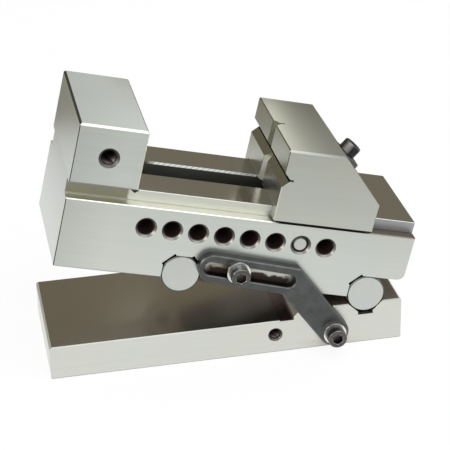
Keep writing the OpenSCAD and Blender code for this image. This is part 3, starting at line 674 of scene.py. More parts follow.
class GroundSteel:
    """A ground steel material that takes a finish of its own on each kind of face."""

    def __init__(self, name, settings, colour, tilted):
        self.settings = settings
        self.shader = shader = Shader(name)
        place = shader.place()
        facing = shader.facing()
        if tilted:
            place = shader.in_bed(place)
            facing = shader.in_bed(facing, move=False)
        self.place = place
        self.x, self.y, self.z = shader.parts(place)
        self.facing_x, self.facing_y, self.facing_z = shader.parts(facing)
        ends = shader.over(shader.unsigned(self.facing_x), FACING)
        self.fine, self.soft = grain(shader, place, ends, settings)
        drift = shader.ramp(shader.noise(place, 26.0, 2.0), 0.35, 0.65)
        warmer = [part * tint for part, tint in zip(colour, WARM_TINT)]
        self.colour = shader.mix(drift, colour, warmer)
        self.roughness = settings.side_roughness
        self.calm = 0.0
        self.clear = 0.0
        self.oil = 0.0

    def finish_where(self, mask, colour, roughness):
        """Colour and roughness where a mask is 1."""
        self.colour = self.shader.mix(mask, self.colour, colour)
        self.roughness = self.shader.blend(mask, self.roughness, roughness)

    def level(self, height, colour, roughness):
        """Finish of an upward land at one height."""
        shader = self.shader
        at_height = shader.near(self.z, height, SLACK)
        upward = shader.over(self.facing_z, LEVEL)
        land = shader.both(at_height, upward)
        self.finish_where(land, colour, roughness)
        self.calm = shader.either(self.calm, land)
        return land

    def falloff(self, faces, along, start, end, low, high):
        """Painted light and shade: a tone that runs from low to high along one axis of some faces."""
        factor = self.shader.ramp(along, start, end, low, high)
        self.colour = self.shader.times(self.colour, self.shader.blend(faces, 1.0, factor))

    def underside(self, colour):
        """Painted shade on the faces that look down."""
        below = self.shader.under(self.facing_z, -LEVEL)
        self.finish_where(below, colour, SATIN_ROUGHNESS)
        self.clear = self.shader.either(self.clear, below)
        return below

    def side_groove(self):
        """Beside the rail: painted shadow under the fixed jaw, painted light after it, oil and painted shade at
        the tail.
        """
        shader, settings = self.shader, self.settings
        # Painted shadow of the fixed jaw on the rail side and the ledge
        shadowed = shader.ramp(self.x, settings.jaw_shadow_end - 0.5 * MM, settings.jaw_shadow_end + 0.5 * MM, 1.0, 0.0)
        # Oil film with painted shade from under the movable jaw to the tail
        oily = shader.ramp(self.x, settings.oil_shade_start - 3 * MM, settings.oil_shade_start + 3 * MM)
        depth = shader.unsigned(self.y)
        sideways = shader.unsigned(self.facing_y)
        rail = shader.both(
            shader.near(depth, settings.rail_half_width, SLACK),
            shader.over(sideways, FACING),
            shader.over(self.z, settings.ledge_height - SLACK))
        side = shader.mix(shadowed, settings.rail_side_colour, settings.groove_shadow_colour)
        side = shader.mix(oily, side, settings.oily_side_shade_colour)
        self.finish_where(rail, side, settings.milled_roughness)
        # Painted shadow in the relief at the foot of the fixed jaw, reaching beyond the relief itself
        beside = shader.unsigned(shader.math("SUBTRACT", self.x, settings.jaw_inner))
        drop = shader.math("SUBTRACT", settings.rail_height, self.z)
        below = shader.math("MULTIPLY_ADD", beside, 0.7, drop)
        soft = 0.2 * MM
        relief = shader.ramp(below, settings.relief_depth - soft, settings.relief_depth + soft, 1.0, 0.0)
        self.finish_where(shader.both(rail, relief), settings.gap_shadow_colour, GAP_ROUGHNESS)
        # Painted light on the ledge beyond the fixed jaw's painted shadow
        ledge = shader.mix(shadowed, settings.lit_ledge_colour, settings.ledge_shadow_colour)
        ledge = shader.mix(oily, ledge, settings.oil_and_shade_colour)
        land = self.level(settings.ledge_height, ledge, settings.milled_roughness)
        # Painted light: a lighter line along the inner corner inside the fixed jaw's painted shadow
        low_side = shader.both(rail, shader.under(self.z, settings.ledge_height + 0.7 * MM))
        near_side = shader.both(land, shader.under(depth, settings.rail_half_width + 0.7 * MM))
        seam = shader.both(shadowed, shader.either(low_side, near_side))
        self.finish_where(seam, shade(settings.rail_side_colour, 0.72), SATIN_ROUGHNESS)
        # Oil film with painted shade on the ledge bevel behind the movable jaw
        bevel = shader.both(
            shader.over(depth, settings.rail_half_width),
            shader.near(self.z, settings.ledge_height - 0.25 * MM, 0.3 * MM),
            shader.near(self.facing_z, BEVEL, 2 * BEVEL_SLACK),
            oily)
        self.finish_where(bevel, settings.oil_and_shade_colour, settings.milled_roughness)
        # Painted highlight along the foot groove of the rail, which would otherwise show dark
        foot = shader.both(
            shader.near(depth, settings.rail_half_width + 0.25 * MM, 0.35 * MM),
            shader.near(self.z, settings.ledge_height - 0.25 * MM, 0.3 * MM))
        self.finish_where(shader.both(foot, shader.outside(oily)), settings.lit_ledge_colour, DULL_ROUGHNESS)
        # Painted shadow in the gap under the movable jaw
        hidden = shader.both(
            shader.either(land, bevel),
            oily,
            shader.ramp(self.x, settings.gap_shadow_end - 2 * MM, settings.gap_shadow_end + 2 * MM, 1.0, 0.0))
        self.finish_where(hidden, settings.gap_shadow_colour, GAP_ROUGHNESS)
        bright = shader.outside(oily)
        whole = shader.either(shader.either(rail, land), foot)
        self.clear = shader.both(whole, bright)

    def slot_walls(self):
        """Painted shade on the slot walls and closed end, cutter marks and a darker painted tone on the bevelled
        edges.
        """
        shader, settings = self.shader, self.settings
        depth = shader.unsigned(self.y)
        along = shader.both(
            shader.over(self.x, settings.slot_start - SLACK),
            shader.under(self.z, settings.rail_height + SLACK))
        inside = shader.under(depth, settings.slot_half_width + SLACK)
        upright = shader.under(shader.unsigned(self.facing_z), 0.3)
        walls = shader.both(along, inside, upright, shader.under(self.x, settings.slot_end + SLACK))
        self.finish_where(walls, settings.slot_shade_colour, settings.milled_roughness)
        self.clear = shader.either(self.clear, shader.math("MULTIPLY", walls, 0.7))
        edge = shader.both(
            along,
            shader.under(depth, settings.slot_half_width + 1.5 * MM),
            shader.near(self.facing_z, BEVEL, 2 * BEVEL_SLACK))
        slanted = shader.math("MULTIPLY_ADD", self.z, -2.2, self.x)
        wave = shader.math("SINE", shader.math("MULTIPLY", slanted, 2 * math.pi / settings.cutter_pitch))
        # Darker painted tone that dims the highlight on the bevelled edges
        self.finish_where(edge, shade(settings.bed_colour, 0.64), settings.milled_roughness)
        marks = shader.both(edge, shader.ramp(wave, -0.3, 0.7, 0.0, 0.6))
        self.finish_where(marks, shade(settings.slot_shade_colour, 0.5), settings.milled_roughness)
        # Painted shade at the closed end of the slot
        closed = shader.ramp(self.x, settings.slot_start + 3 * MM, settings.slot_start + 9 * MM, 1.0, 0.0)
        self.finish_where(shader.both(edge, closed), settings.recess_shade_colour, DULL_ROUGHNESS)

    def upright_edges(self, colour):
        """Painted highlight on the bevels of the upright front edges towards the tail."""
        shader = self.shader
        ahead = shader.near(self.facing_x, BEVEL, BEVEL_SLACK)
        aside = shader.near(shader.unsigned(self.facing_y), BEVEL, BEVEL_SLACK)
        self.finish_where(shader.both(ahead, aside), colour, DULL_ROUGHNESS)

    def left_edges(self, colour):
        """Painted dark reflection on the bevels of the left end."""
        self.finish_where(self.shader.near(self.facing_x, -BEVEL, BEVEL_SLACK), colour, LEFT_EDGE_ROUGHNESS)

    def hung_edges(self, colour):
        """Painted shade on the downward bevels that hang over the ledges."""
        shader = self.shader
        above = shader.over(self.z, self.settings.ledge_height)
        slanted = shader.near(self.facing_z, -BEVEL, BEVEL_SLACK)
        self.finish_where(shader.both(above, slanted), colour, DULL_ROUGHNESS)

    def seat_corner_shade(self, colour):
        """Painted shade in the lower corner between the sine roller and the locking arm."""
        shader, settings = self.shader, self.settings
        beside = shader.over(self.x, settings.seat_side - SLACK)
        reach = shader.math("ADD", shader.math("SUBTRACT", self.x, settings.seat_side), self.z)
        near = shader.ramp(reach, settings.seat_reach - 0.4 * MM, settings.seat_reach + 0.4 * MM, 1.0, 0.0)
        side = shader.under(self.facing_y, -0.5)
        self.finish_where(shader.both(beside, near, side, shader.under(self.z, 0.0)), colour, DULL_ROUGHNESS)

    def top_edges(self, height, colour):
        """Painted tone on the bevels of the long edges of an upward land, which sets how bright their highlight
        shows.
        """
        shader = self.shader
        near = shader.near(self.z, height - 0.5 * MM, 0.55 * MM)
        aside = shader.near(shader.unsigned(self.facing_y), BEVEL, BEVEL_SLACK)
        self.finish_where(shader.both(near, aside), colour, TOP_EDGE_ROUGHNESS)

    def vee_facets(self):
        """Finer ground facets of the vee grooves in the jaw face, with painted shade, painted light and painted
        shadow in their slits.
        """
        shader = self.shader
        ahead = shader.under(self.facing_x, -0.5)
        flat = shader.under(self.facing_x, -FACING)
        facet = shader.math("SUBTRACT", ahead, flat)
        settings = self.settings
        # Painted shade on the slanted facets
        self.finish_where(facet, settings.vee_shade_colour, settings.vee_roughness)
        # Painted light on the low upright facets
        upright = shader.both(facet, shader.over(shader.unsigned(self.facing_y), 0.5))
        low = shader.ramp(self.z, settings.vee_height - 4 * MM, settings.vee_height - 2 * MM, 1.0, 0.0)
        self.finish_where(shader.both(upright, low), shade(settings.lit_ledge_colour, 0.75), SATIN_ROUGHNESS)
        # Painted shadow in the slits at the feet of the vees
        deep = shader.both(
            shader.over(self.x, settings.vee_foot - 0.45 * MM),
            shader.under(self.x, settings.vee_foot + 2 * MM))
        level = shader.near(self.z, settings.vee_height, 0.9 * MM)
        middle = shader.near(self.y, 0.0, 0.7 * MM)
        slit = shader.both(deep, shader.either(level, middle))
        within = shader.under(shader.unsigned(self.facing_y), LEVEL)
        self.finish_where(shader.both(slit, within), settings.gap_shadow_colour, GAP_ROUGHNESS)

    def arm_slot_shade(self, lock_x, lock_z, slope):
        """Painted shade on the front side behind the slot of the locking arm: a pale beige stretch and a dark
        brown band.
        """
        shader, settings = self.shader, self.settings
        side = shader.math("SUBTRACT", self.x, lock_x)
        rise = shader.math("SUBTRACT", self.z, lock_z)
        sine, cosine = math.sin(slope), math.cos(slope)
        run = shader.math("MULTIPLY_ADD", rise, -sine, shader.math("MULTIPLY", side, cosine))
        lift = shader.math("MULTIPLY_ADD", rise, cosine, shader.math("MULTIPLY", side, sine))
        ragged = shader.math("MULTIPLY_ADD", shader.noise(self.place, 320.0, 3.0), 5 * MM, -2.5 * MM)
        edge = shader.math("ADD", lift, ragged)
        whole = shader.both(
            shader.ramp(lift, -5.5 * MM, -4.5 * MM),
            shader.ramp(run, -16 * MM, -13 * MM),
            shader.ramp(run, 28 * MM, 31 * MM, 1.0, 0.0),
            shader.under(self.facing_y, -FACING))
        # Pale painted shade behind the slot
        film = shader.both(
            whole,
            shader.ramp(lift, 4 * MM, 6 * MM, 1.0, 0.0),
            shader.ramp(run, -4 * MM, 14 * MM, 0.9, 0.35))
        self.finish_where(film, settings.arm_slot_pale_shade_colour, PALE_SHADE_ROUGHNESS)
        # Dark painted shadow along the lower part of the slot
        band = shader.both(whole, shader.ramp(edge, -1.5 * MM, -0.6 * MM, 0.95, 0.0))
        self.finish_where(band, settings.arm_slot_shadow_colour, SATIN_ROUGHNESS)

    def round_hole(self, axis_x, axis_z, radius):
        """Dull countersink of one hole in the front side."""
        shader = self.shader
        side = shader.math("SUBTRACT", self.x, axis_x)
        rise = shader.math("SUBTRACT", self.z, axis_z)
        square = shader.reach_square(side, rise)
        inside = shader.under(square, (radius + RADIUS_SLACK) ** 2)
        sunk = shader.near(shader.unsigned(self.facing_y), 0.7, 0.2)
        self.finish_where(shader.both(inside, sunk), shade(self.settings.bore_colour, 0.6), SATIN_ROUGHNESS)

    def cross_holes(self, axis_x, axis_z, pitch, before, after, radius):
        """Dull countersinks round a row of cross holes, with painted shade over their bores."""
        shader = self.shader
        start = axis_x - (before + 0.5) * pitch
        end = axis_x + (after + 0.5) * pitch
        along = shader.math("SUBTRACT", self.x, start)
        side = shader.math("SUBTRACT", shader.math("MODULO", along, pitch), pitch / 2)
        rise = shader.math("SUBTRACT", self.z, axis_z)
        square = shader.reach_square(side, rise)
        in_row = shader.both(shader.over(self.x, start), shader.under(self.x, end))
        inside = shader.under(square, (radius + RADIUS_SLACK) ** 2)
        sunk = shader.under(shader.unsigned(self.facing_y), SQUARE_ON)
        cone = shader.both(in_row, inside, sunk)
        self.finish_where(cone, self.settings.bore_colour, COUNTERSINK_ROUGHNESS)
        # Painted shade of the bore over the inner part of the countersink
        shaded = shader.under(square, self.settings.bore_shade_radius ** 2)
        self.finish_where(shader.both(cone, shaded), self.settings.recess_shade_colour, SATIN_ROUGHNESS)

    def material(self):
        """The finished material, with grinding lines, spots and painted shade in its recesses."""
        shader, settings = self.shader, self.settings
        rough_share = shader.outside(shader.math("MULTIPLY", self.calm, 0.85))
        lines = shader.math("SUBTRACT", shader.math("ADD", self.fine, self.soft), 1.0)
        streaks = shader.math("MULTIPLY_ADD", shader.math("MULTIPLY", lines, 0.08), rough_share, 1.0)
        colour = shader.times(self.colour, streaks)
        spots = shader.ramp(shader.noise(self.place, 420.0, 1.0), 0.78, 0.84, 0.0, 0.3)
        colour = shader.mix(spots, colour, settings.bore_colour)
        # Painted shade where the surface is enclosed
        dark = shader.ramp(shader.openness(settings.recess_reach), 0.10, 0.45, 1.0, 0.0)
        dark = shader.math("MULTIPLY", dark, shader.outside(self.clear))
        colour = shader.mix(dark, colour, settings.recess_shade_colour)
        patches = shader.math("MULTIPLY", shader.ramp(self.soft, 0.3, 0.7, -0.02, 0.02), rough_share)
        roughness = shader.math("ADD", self.roughness, patches)
        roughness = shader.math("ADD", roughness, shader.math("MULTIPLY", dark, 0.3))
        strength = shader.math("MULTIPLY", rough_share, 0.06)
        edges = shader.lean(self.clear, shader.broken_edge(settings.edge_radius), shader.flat())
        normal = shader.bump(self.fine, strength, MARK_DEPTH, edges)
        matt = shader.math("MULTIPLY", shader.either(dark, self.oil), settings.oil_share)
        return shader.finish(colour, roughness, normal, shader.outside(matt))


# Distance between the fine rings on the ends of the rollers and the pin
RING_PITCH = 0.7 * MM


def turned_steel(name, settings, axis_x, axis_z):
    """Round ground steel whose end faces show fine rings about the piece's own axis."""
    shader = Shader(name)
    colour, roughness = settings.round_colour, settings.round_roughness
    place = shader.in_bed(shader.place())
    across, _, up = shader.parts(place)
    side = shader.math("SUBTRACT", across, axis_x)
    rise = shader.math("SUBTRACT", up, axis_z)
    radius = shader.math("SQRT", shader.reach_square(side, rise))
    rings = shader.math("SINE", shader.math("MULTIPLY", radius, 2 * math.pi / RING_PITCH))
    speck = shader.noise(place, 900.0, 3.0)
    tone = shader.mix(shader.ramp(speck, 0.3, 0.7), colour, shade(colour, 0.96))
    _, facing_y, facing_z = shader.parts(shader.facing())
    endways = shader.unsigned(facing_y)
    # Painted shade on the rims: dark below, a dimmed share of the end colour above
    upper = shader.ramp(facing_z, -0.1, 0.35)
    on_rim = shader.under(endways, SQUARE_ON)
    tone = shader.mix(on_rim, tone, shader.mix(upper, settings.lower_rim_shade_colour, shade(colour, 0.35)))
    tone = shader.mix(shader.under(endways, 0.3), tone, settings.barrel_colour)
    # Painted shade in recesses
    dark = shader.ramp(shader.openness(settings.recess_reach), 0.10, 0.40, 1.0, 0.0)
    tone = shader.mix(dark, tone, settings.recess_shade_colour)
    rough = shader.ramp(speck, 0.3, 0.7, roughness - 0.03, roughness + 0.05)
    rough = shader.blend(on_rim, rough, settings.rim_roughness)
    normal = shader.bump(rings, 0.05, MARK_DEPTH, shader.broken_edge(settings.edge_radius))
    return shader.finish(tone, rough, normal)


def black_oxide(name, black, colour, roughness, edge_radius, least_rub_and_sheen=0.25, top_shade_share=1.0,
                rim_sheen=0.0, sheen_side=(0, 0, 0)):
    """Oxide with cloudy tone, rubbed edges with a painted highlight, painted highlights on rim and one side,
    shaded tops.
    """
    shader = Shader(name)
    place = shader.place()
    cloud = shader.noise(place, 160.0, 3.0)
    speck = shader.noise(place, 2200.0, 2.0)
    tone = shader.mix(shader.ramp(cloud, 0.3, 0.7), shade(colour, 0.82), shade(colour, 1.12))
    edges = shader.broken_edge(edge_radius, 6)
    turn = shader.outside(shader.dot(edges, shader.flat()))
    # Rubbed bare metal on the edges, also a painted highlight line
    edge_rub_and_sheen = shader.both(shader.ramp(turn, 0.02, 0.16), shader.ramp(cloud, 0.35, 0.75, least_rub_and_sheen, 0.95))
    tone = shader.mix(edge_rub_and_sheen, tone, black.rub_and_sheen_colour)
    facing = shader.facing()
    # Painted highlight on one side
    worn = shader.ramp(shader.dot(facing, sheen_side), 0.86, 0.985, 0.0, 0.5)
    tone = shader.mix(worn, tone, black.rub_and_sheen_colour)
    _, facing_y, facing_z = shader.parts(facing)
    # Painted highlight on the rim of a head
    rim = shader.both(shader.over(facing_z, 0.3), shader.under(facing_z, 0.93))
    tone = shader.mix(shader.math("MULTIPLY", rim, rim_sheen), tone, black.rub_and_sheen_colour)
    # Painted shade on the sides that face up
    upward = shader.both(shader.under(shader.unsigned(facing_y), 0.3), shader.over(facing_z, 0.3))
    tone = shader.times(tone, shader.blend(upward, 1.0, top_shade_share))
    # Painted shade in the sockets and corners
    dark = shader.ramp(shader.openness(black.recess_reach), 0.15, 0.62, 1.0, 0.0)
    tone = shader.mix(dark, tone, black.recess_shade_colour)
    rough = shader.ramp(speck, 0.25, 0.75, roughness - 0.05, roughness + 0.07)
    return shader.finish(tone, rough, shader.bump(speck, 0.15, MARK_DEPTH, edges))


def bright_metal(name, colour, roughness, edge_radius):
    """Plain steel with faint tumbling marks."""
    shader = Shader(name)
    marks = shader.noise(shader.place(), 1400.0, 3.0)
    tone = shader.mix(shader.ramp(marks, 0.3, 0.7), colour, shade(colour, 0.9))
    rough = shader.ramp(marks, 0.3, 0.7, roughness - 0.05, roughness + 0.08)
    return shader.finish(tone, rough, shader.bump(marks, 0.1, MARK_DEPTH, shader.broken_edge(edge_radius)))


class SpunMesh:
    """A closed mesh of rings about +Z, joined by quads from its first centre point to its last."""

    def __init__(self, segments):
        self.segments = segments
        self.mesh = bmesh.new()
        self.rings = []

    def ring(self, z, radius):
        """Adds a ring; radius is a number or a function of the angle."""
        made = []
        for step in range(self.segments):
            angle = 2 * math.pi * step / self.segments
            r = radius(angle) if callable(radius) else radius
            made.append(self.mesh.verts.new((r * math.cos(angle), r * math.sin(angle), z)))
        if self.rings:
            self.join(self.rings[-1], made)
        self.rings.append(made)

    def join(self, first, second):
        for step in range(self.segments):
            after = (step + 1) % self.segments
            self.mesh.faces.new((first[step], first[after], second[after], second[step]))

    def cap(self, ring, z):
        """Closes a ring with a fan to a point on the axis."""
        centre = self.mesh.verts.new((0, 0, z))
        for step in range(self.segments):
            after = (step + 1) % self.segments
            self.mesh.faces.new((ring[step], ring[after], centre))

    def piece(self, name, matrix, material, sharp=35):
        """Makes the object, with smooth faces that break at sharp edges."""
        bmesh.ops.recalc_face_normals(self.mesh, faces=self.mesh.faces)
        data = bpy.data.meshes.new(name)
        self.mesh.to_mesh(data)
        self.mesh.free()
        data.polygons.foreach_set("use_smooth", [True] * len(data.polygons))
        data.set_sharp_from_angle(angle=math.radians(sharp))
        data.materials.append(material)
        made = bpy.data.objects.new(name, data)
        bpy.context.scene.collection.objects.link(made)
        made.matrix_world = matrix
        return made


def axis_matrix(origin, axis):
    """A frame whose +Z is the axis, at the origin given."""
    turn = Vector(axis).normalized().to_track_quat("Z", "Y")
    return Matrix.Translation(origin) @ turn.to_matrix().to_4x4()


def about_axis(axis, direction):
    """A direction of the row frame in the frame of that axis."""
    return axis_matrix(Vector(), axis).to_3x3().transposed() @ direction


def measure_screw(node, axis):
    """Reads a CAD screw: its frame at the underside of the head, and its sizes."""
    points = [vertex.co.copy() for vertex in frame["nodes"][node].data.vertices]
    turn = axis_matrix(Vector(), axis).inverted()
    local = [turn @ point for point in points]
    low = [min(point[k] for point in local) for k in range(3)]
    high = [max(point[k] for point in local) for k in range(3)]
    centre = Vector(((low[0] + high[0]) / 2, (low[1] + high[1]) / 2, 0))
    reach = [(point.z, (point - centre).xy.length) for point in local]
    head_r = (high[0] - low[0]) / 2
    under = min(z for z, r in reach if r > 0.9 * head_r)
    below = [(z, r) for z, r in reach if z < under - SLACK]
    core_r = max(r for z, r in below if z < low[2] + 3 * MM)
    shank_r = max(r for z, r in below)
    steps = [z for z, r in below if r > core_r + SLACK]
    thread_top = min(steps) if steps else (under + low[2]) / 2
    origin = turn.inverted() @ Vector((centre.x, centre.y, under))
    return {
        "matrix": axis_matrix(origin, axis),
        "head_r": head_r,
        "head_h": high[2] - under,
        "length": under - low[2],
        "core_r": core_r,
        "shank_r": shank_r,
        "thread_l": thread_top - low[2],
    }


def thread_radius(crest, depth, pitch, z):
    """Radius of a right hand thread at one height, as a function of the angle."""

    def radius(angle):
        phase = (z / pitch - angle / (2 * math.pi)) % 1.0
        flank = min(1.0, max(0.0, abs(2 * phase - 1) * 1.25 - 0.125))
        return crest - depth * flank

    return radius


def hexagon_radius(width):
    """Radius of a hexagon of that width across its flats, as a function of the angle."""

    def radius(angle):
        return width / 2 / math.cos((angle + math.pi / 6) % (math.pi / 3) - math.pi / 6)

    return radius


def knurl_radius(outer, depth, teeth):
    """Radius of a straight knurl, as a function of the angle."""

    def radius(angle):
        return outer - depth * (0.5 + 0.5 * math.cos(teeth * angle))

    return radius


SCREW_SEGMENTS = 72
KNURL_TEETH = 36
RINGS_PER_PITCH = 4
# Shares of a screw head's height: socket floor, point below it, both ends of the knurl, and its run-out
SOCKET_FLOOR = 0.48
SOCKET_POINT = 0.42
KNURL_TOP = 0.77
KNURL_FOOT = 0.14
KNURL_RUN = 0.03
# The pieces stay this far inside their solids, and small edges are broken by this much
INSET = 0.02 * MM
BREAK = 0.25 * MM
# The mouth of the socket is a little wider than its corners
MOUTH_SHARE = 1.04


def screw_piece(name, size, settings, pitch, material):
    """A socket head screw with a hexagon socket, a straight knurl and a cut thread."""
    head_r, head_h = size["head_r"], size["head_h"]
    shank_r, core_r, length = size["shank_r"], size["core_r"], size["length"]
    socket = hexagon_radius(2 * head_r * settings.socket_width)
    knurl = knurl_radius(head_r, settings.knurl_depth, KNURL_TEETH)
    edge = 0.1 * head_h
    mouth = head_r * settings.socket_width * 2 / math.sqrt(3) * MOUTH_SHARE
    spun = SpunMesh(SCREW_SEGMENTS)
    spun.ring(SOCKET_FLOOR * head_h, socket)
    spun.cap(spun.rings[0], SOCKET_POINT * head_h)
    spun.ring(head_h - BREAK, socket)
    spun.ring(head_h - INSET, mouth)
    spun.ring(head_h - INSET, head_r - 1.4 * edge)
    spun.ring(head_h - 0.4 * edge, head_r - 0.45 * edge)
    spun.ring(head_h - 1.2 * edge, head_r - INSET)
    spun.ring((KNURL_TOP + KNURL_RUN) * head_h, head_r - INSET)
    spun.ring(KNURL_TOP * head_h, knurl)
    spun.ring(KNURL_FOOT * head_h, knurl)
    spun.ring((KNURL_FOOT - KNURL_RUN) * head_h, head_r - INSET)
    spun.ring(KNURL_RUN * head_h, head_r - INSET)
    spun.ring(0, head_r - 0.2 * MM)
    spun.ring(0, shank_r + BREAK)
    spun.ring(-BREAK, shank_r)
    top = size["thread_l"] - length
    spun.ring(top, shank_r)
    depth = settings.thread_depth * pitch
    taper = core_r / 3
    count = int((size["thread_l"] - taper) / pitch * RINGS_PER_PITCH)
    for step in range(1, count + 1):
        z = top - step * pitch / RINGS_PER_PITCH
        fade = min(1.0, step / RINGS_PER_PITCH)
        spun.ring(z, thread_radius(core_r, depth * fade, pitch, z))
    spun.ring(-length, core_r - taper)
    spun.cap(spun.rings[-1], -length)
    return spun.piece(name, size["matrix"], material)


def tapped_thread(name, matrix, wall_r, depth, length, pitch, material):
    """Thread ridges that line a tapped hole, as a thin closed sleeve against its wall; +Z leads out."""
    spun = SpunMesh(SCREW_SEGMENTS)
    outer = wall_r - INSET / 2
    count = int(length / pitch * RINGS_PER_PITCH)
    spun.ring(-length, outer)
    for step in range(count + 1):
        z = -length + step * length / count
        rise = depth * min(1.0, step / RINGS_PER_PITCH, (count - step) / RINGS_PER_PITCH)
        spun.ring(z, thread_radius(outer - INSET, rise, pitch, z))
    spun.ring(0, outer)
    spun.join(spun.rings[-1], spun.rings[0])
    return spun.piece(name, matrix, material)


def middle_in_bed(node):
    """Middle of a piece, along the bed and above the roller axes."""
    low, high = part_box(node)
    offset = (low + high) / 2 - HINGE
    return offset.dot(BED_X), offset.dot(BED_Z)


# Height where the painted tone of the left end turns, and length of the left stretch of the front side
LEFT_END_TURN = 42 * MM
FRONT_LEFT_RUN = 25 * MM
# Painted light and shade on stretches of a ground face: where one starts and ends, and the share of the colour at
# both
FIXED_TOP_ACROSS = (5 * MM, 34 * MM, 1.0, 1.15)
FRONT_RIGHT = (-60 * MM, 0.0, 1.0, 0.94)
LEFT_END_LOW = (5 * MM, LEFT_END_TURN, 1.0, 0.80)
UNDER_LEFT = (-108 * MM, -90 * MM, 1.2, 0.68)
UNDER_SEAT = (-74 * MM, -62 * MM, 0.45, 1.0)
UNDER_HINGE = (-50 * MM, -25 * MM, 1.0, 1.7)
MOVED_TOP = (-57 * MM, -34 * MM, 1.18, 0.80)
MOVED_EDGE = (-59 * MM, -30 * MM, 0.76, 0.40)
# Painted light and shade on stretches that reach to a face of the bed: the share of the colour at both ends
FIXED_TOP_ALONG = (0.85, 1.06)
FRONT_LEFT = (0.87, 1.04)
LEFT_END_HIGH = (1.0, 1.45)
# Place along the bed where the shaded underside beside the sine roller begins
UNDER_SEAT_FROM = -92 * MM
# Painted tones that set the highlights on bevels, as shares of the ground colour: fixed jaw top, over the ledges,
# hinge block, gauge block area
FIXED_TOP_EDGE = 1.2
HUNG_EDGE = 0.7
HINGE_TOP_EDGE = 0.5
GAUGE_EDGE = 0.85
# Share of the recess shade that the oily top of the hinge block is kept clear of
HINGE_TOP_CLEAR = 0.8
# Worn stretch of the rail before the movable jaw: where it starts, is full, begins to fade and ends
WORN_RAIL = (-73 * MM, -67 * MM, -58 * MM, -50 * MM)
# Its colour as a share of that of the ways, and its roughness as a multiple of theirs
WORN_SHADE = 0.8
WORN_ROUGHNESS = 2.2


def bed_ground_faces(bed, steel):
    """Painted light and shade gradients on the fixed jaw's top, the front side and the left end of the bed."""
    top = bed.level(steel.jaw_height, steel.bed_colour, steel.jaw_top_roughness)
    bed.falloff(top, bed.x, steel.bed_left, steel.jaw_inner, *FIXED_TOP_ALONG)
    bed.falloff(top, bed.y, *FIXED_TOP_ACROSS)
    front = bed.shader.under(bed.facing_y, -FACING)
    bed.falloff(front, bed.x, steel.bed_left, steel.bed_left + FRONT_LEFT_RUN, *FRONT_LEFT)
    bed.falloff(front, bed.x, *FRONT_RIGHT)
    left = bed.shader.under(bed.facing_x, -FACING)
    bed.falloff(left, bed.z, *LEFT_END_LOW)
    bed.falloff(left, bed.z, LEFT_END_TURN, steel.jaw_height, *LEFT_END_HIGH)


def bed_ways(bed, steel):
    """Lapped tops of the rail, with a worn stretch before the movable jaw."""
    shader = bed.shader
    start, full, fading, end = WORN_RAIL
    worn = shader.both(shader.ramp(bed.x, start, full), shader.ramp(bed.x, fading, end, 1.0, 0.0))
    ways = shader.mix(worn, steel.lapped_colour, shade(steel.lapped_colour, WORN_SHADE))
    roughness = shader.blend(worn, steel.lapped_roughness, WORN_ROUGHNESS * steel.lapped_roughness)
    bed.level(steel.rail_height, ways, roughness)


def bed_underside(bed, steel):
    """Painted shade on the underside of the bed, darkest beside the sine roller."""
    below = bed.underside(steel.underside_shade_colour)
    bed.falloff(below, bed.x, *UNDER_LEFT)
    beside = bed.shader.both(below, bed.shader.over(bed.x, UNDER_SEAT_FROM))
    bed.falloff(beside, bed.x, *UNDER_SEAT)
    bed.falloff(below, bed.x, *UNDER_HINGE)


def bed_steel(steel):
    """The bed: ground faces with painted light and shade, lapped ways, painted light and shadow on the ledges,
    oil, shaded slot and holes.
    """
    bed = GroundSteel("bed_steel", steel, steel.bed_colour, tilted=True)
    bed_ground_faces(bed, steel)
    bed_ways(bed, steel)
    bed.top_edges(steel.jaw_height, shade(steel.bed_colour, FIXED_TOP_EDGE))
    bed.upright_edges(steel.lit_ledge_colour)
    bed.left_edges(steel.bevel_and_corner_shade_colour)
    bed.hung_edges(shade(steel.bed_colour, HUNG_EDGE))
    bed.side_groove()
    bed.slot_walls()
    bed.cross_holes(*middle_in_bed("cross_pin"), steel.hole_pitch, HOLES_BEFORE_PIN, HOLES_AFTER_PIN,
                    steel.countersink_radius)
    stop = Vector(MOUNTS["work_stop_hole"]["pos_m"]) - HINGE
    bed.round_hole(stop.dot(BED_X), stop.dot(BED_Z), steel.countersink_radius)
    bed.seat_corner_shade(steel.bevel_and_corner_shade_colour)
    bed.arm_slot_shade(*middle_in_bed("lock_screw"), ARM_SLOPE - TILT)
    bed_underside(bed, steel)
    return bed.material()


def jaw_steel(steel):
    """The movable jaw: ground sides, finer vees with painted shade, and a top with painted shade towards its
    slope.
    """
    jaw = GroundSteel("jaw_steel", steel, steel.jaw_colour, tilted=True)
    top = jaw.level(steel.jaw_height, steel.jaw_colour, steel.vee_roughness)
    jaw.falloff(top, jaw.x, *MOVED_TOP)
    start, end, *shares = MOVED_EDGE
    dulled = [shade(steel.jaw_colour, share) for share in shares]
    jaw.top_edges(steel.jaw_height, jaw.shader.mix(jaw.shader.ramp(jaw.x, start, end), *dulled))
    jaw.vee_facets()
    return jaw.material()


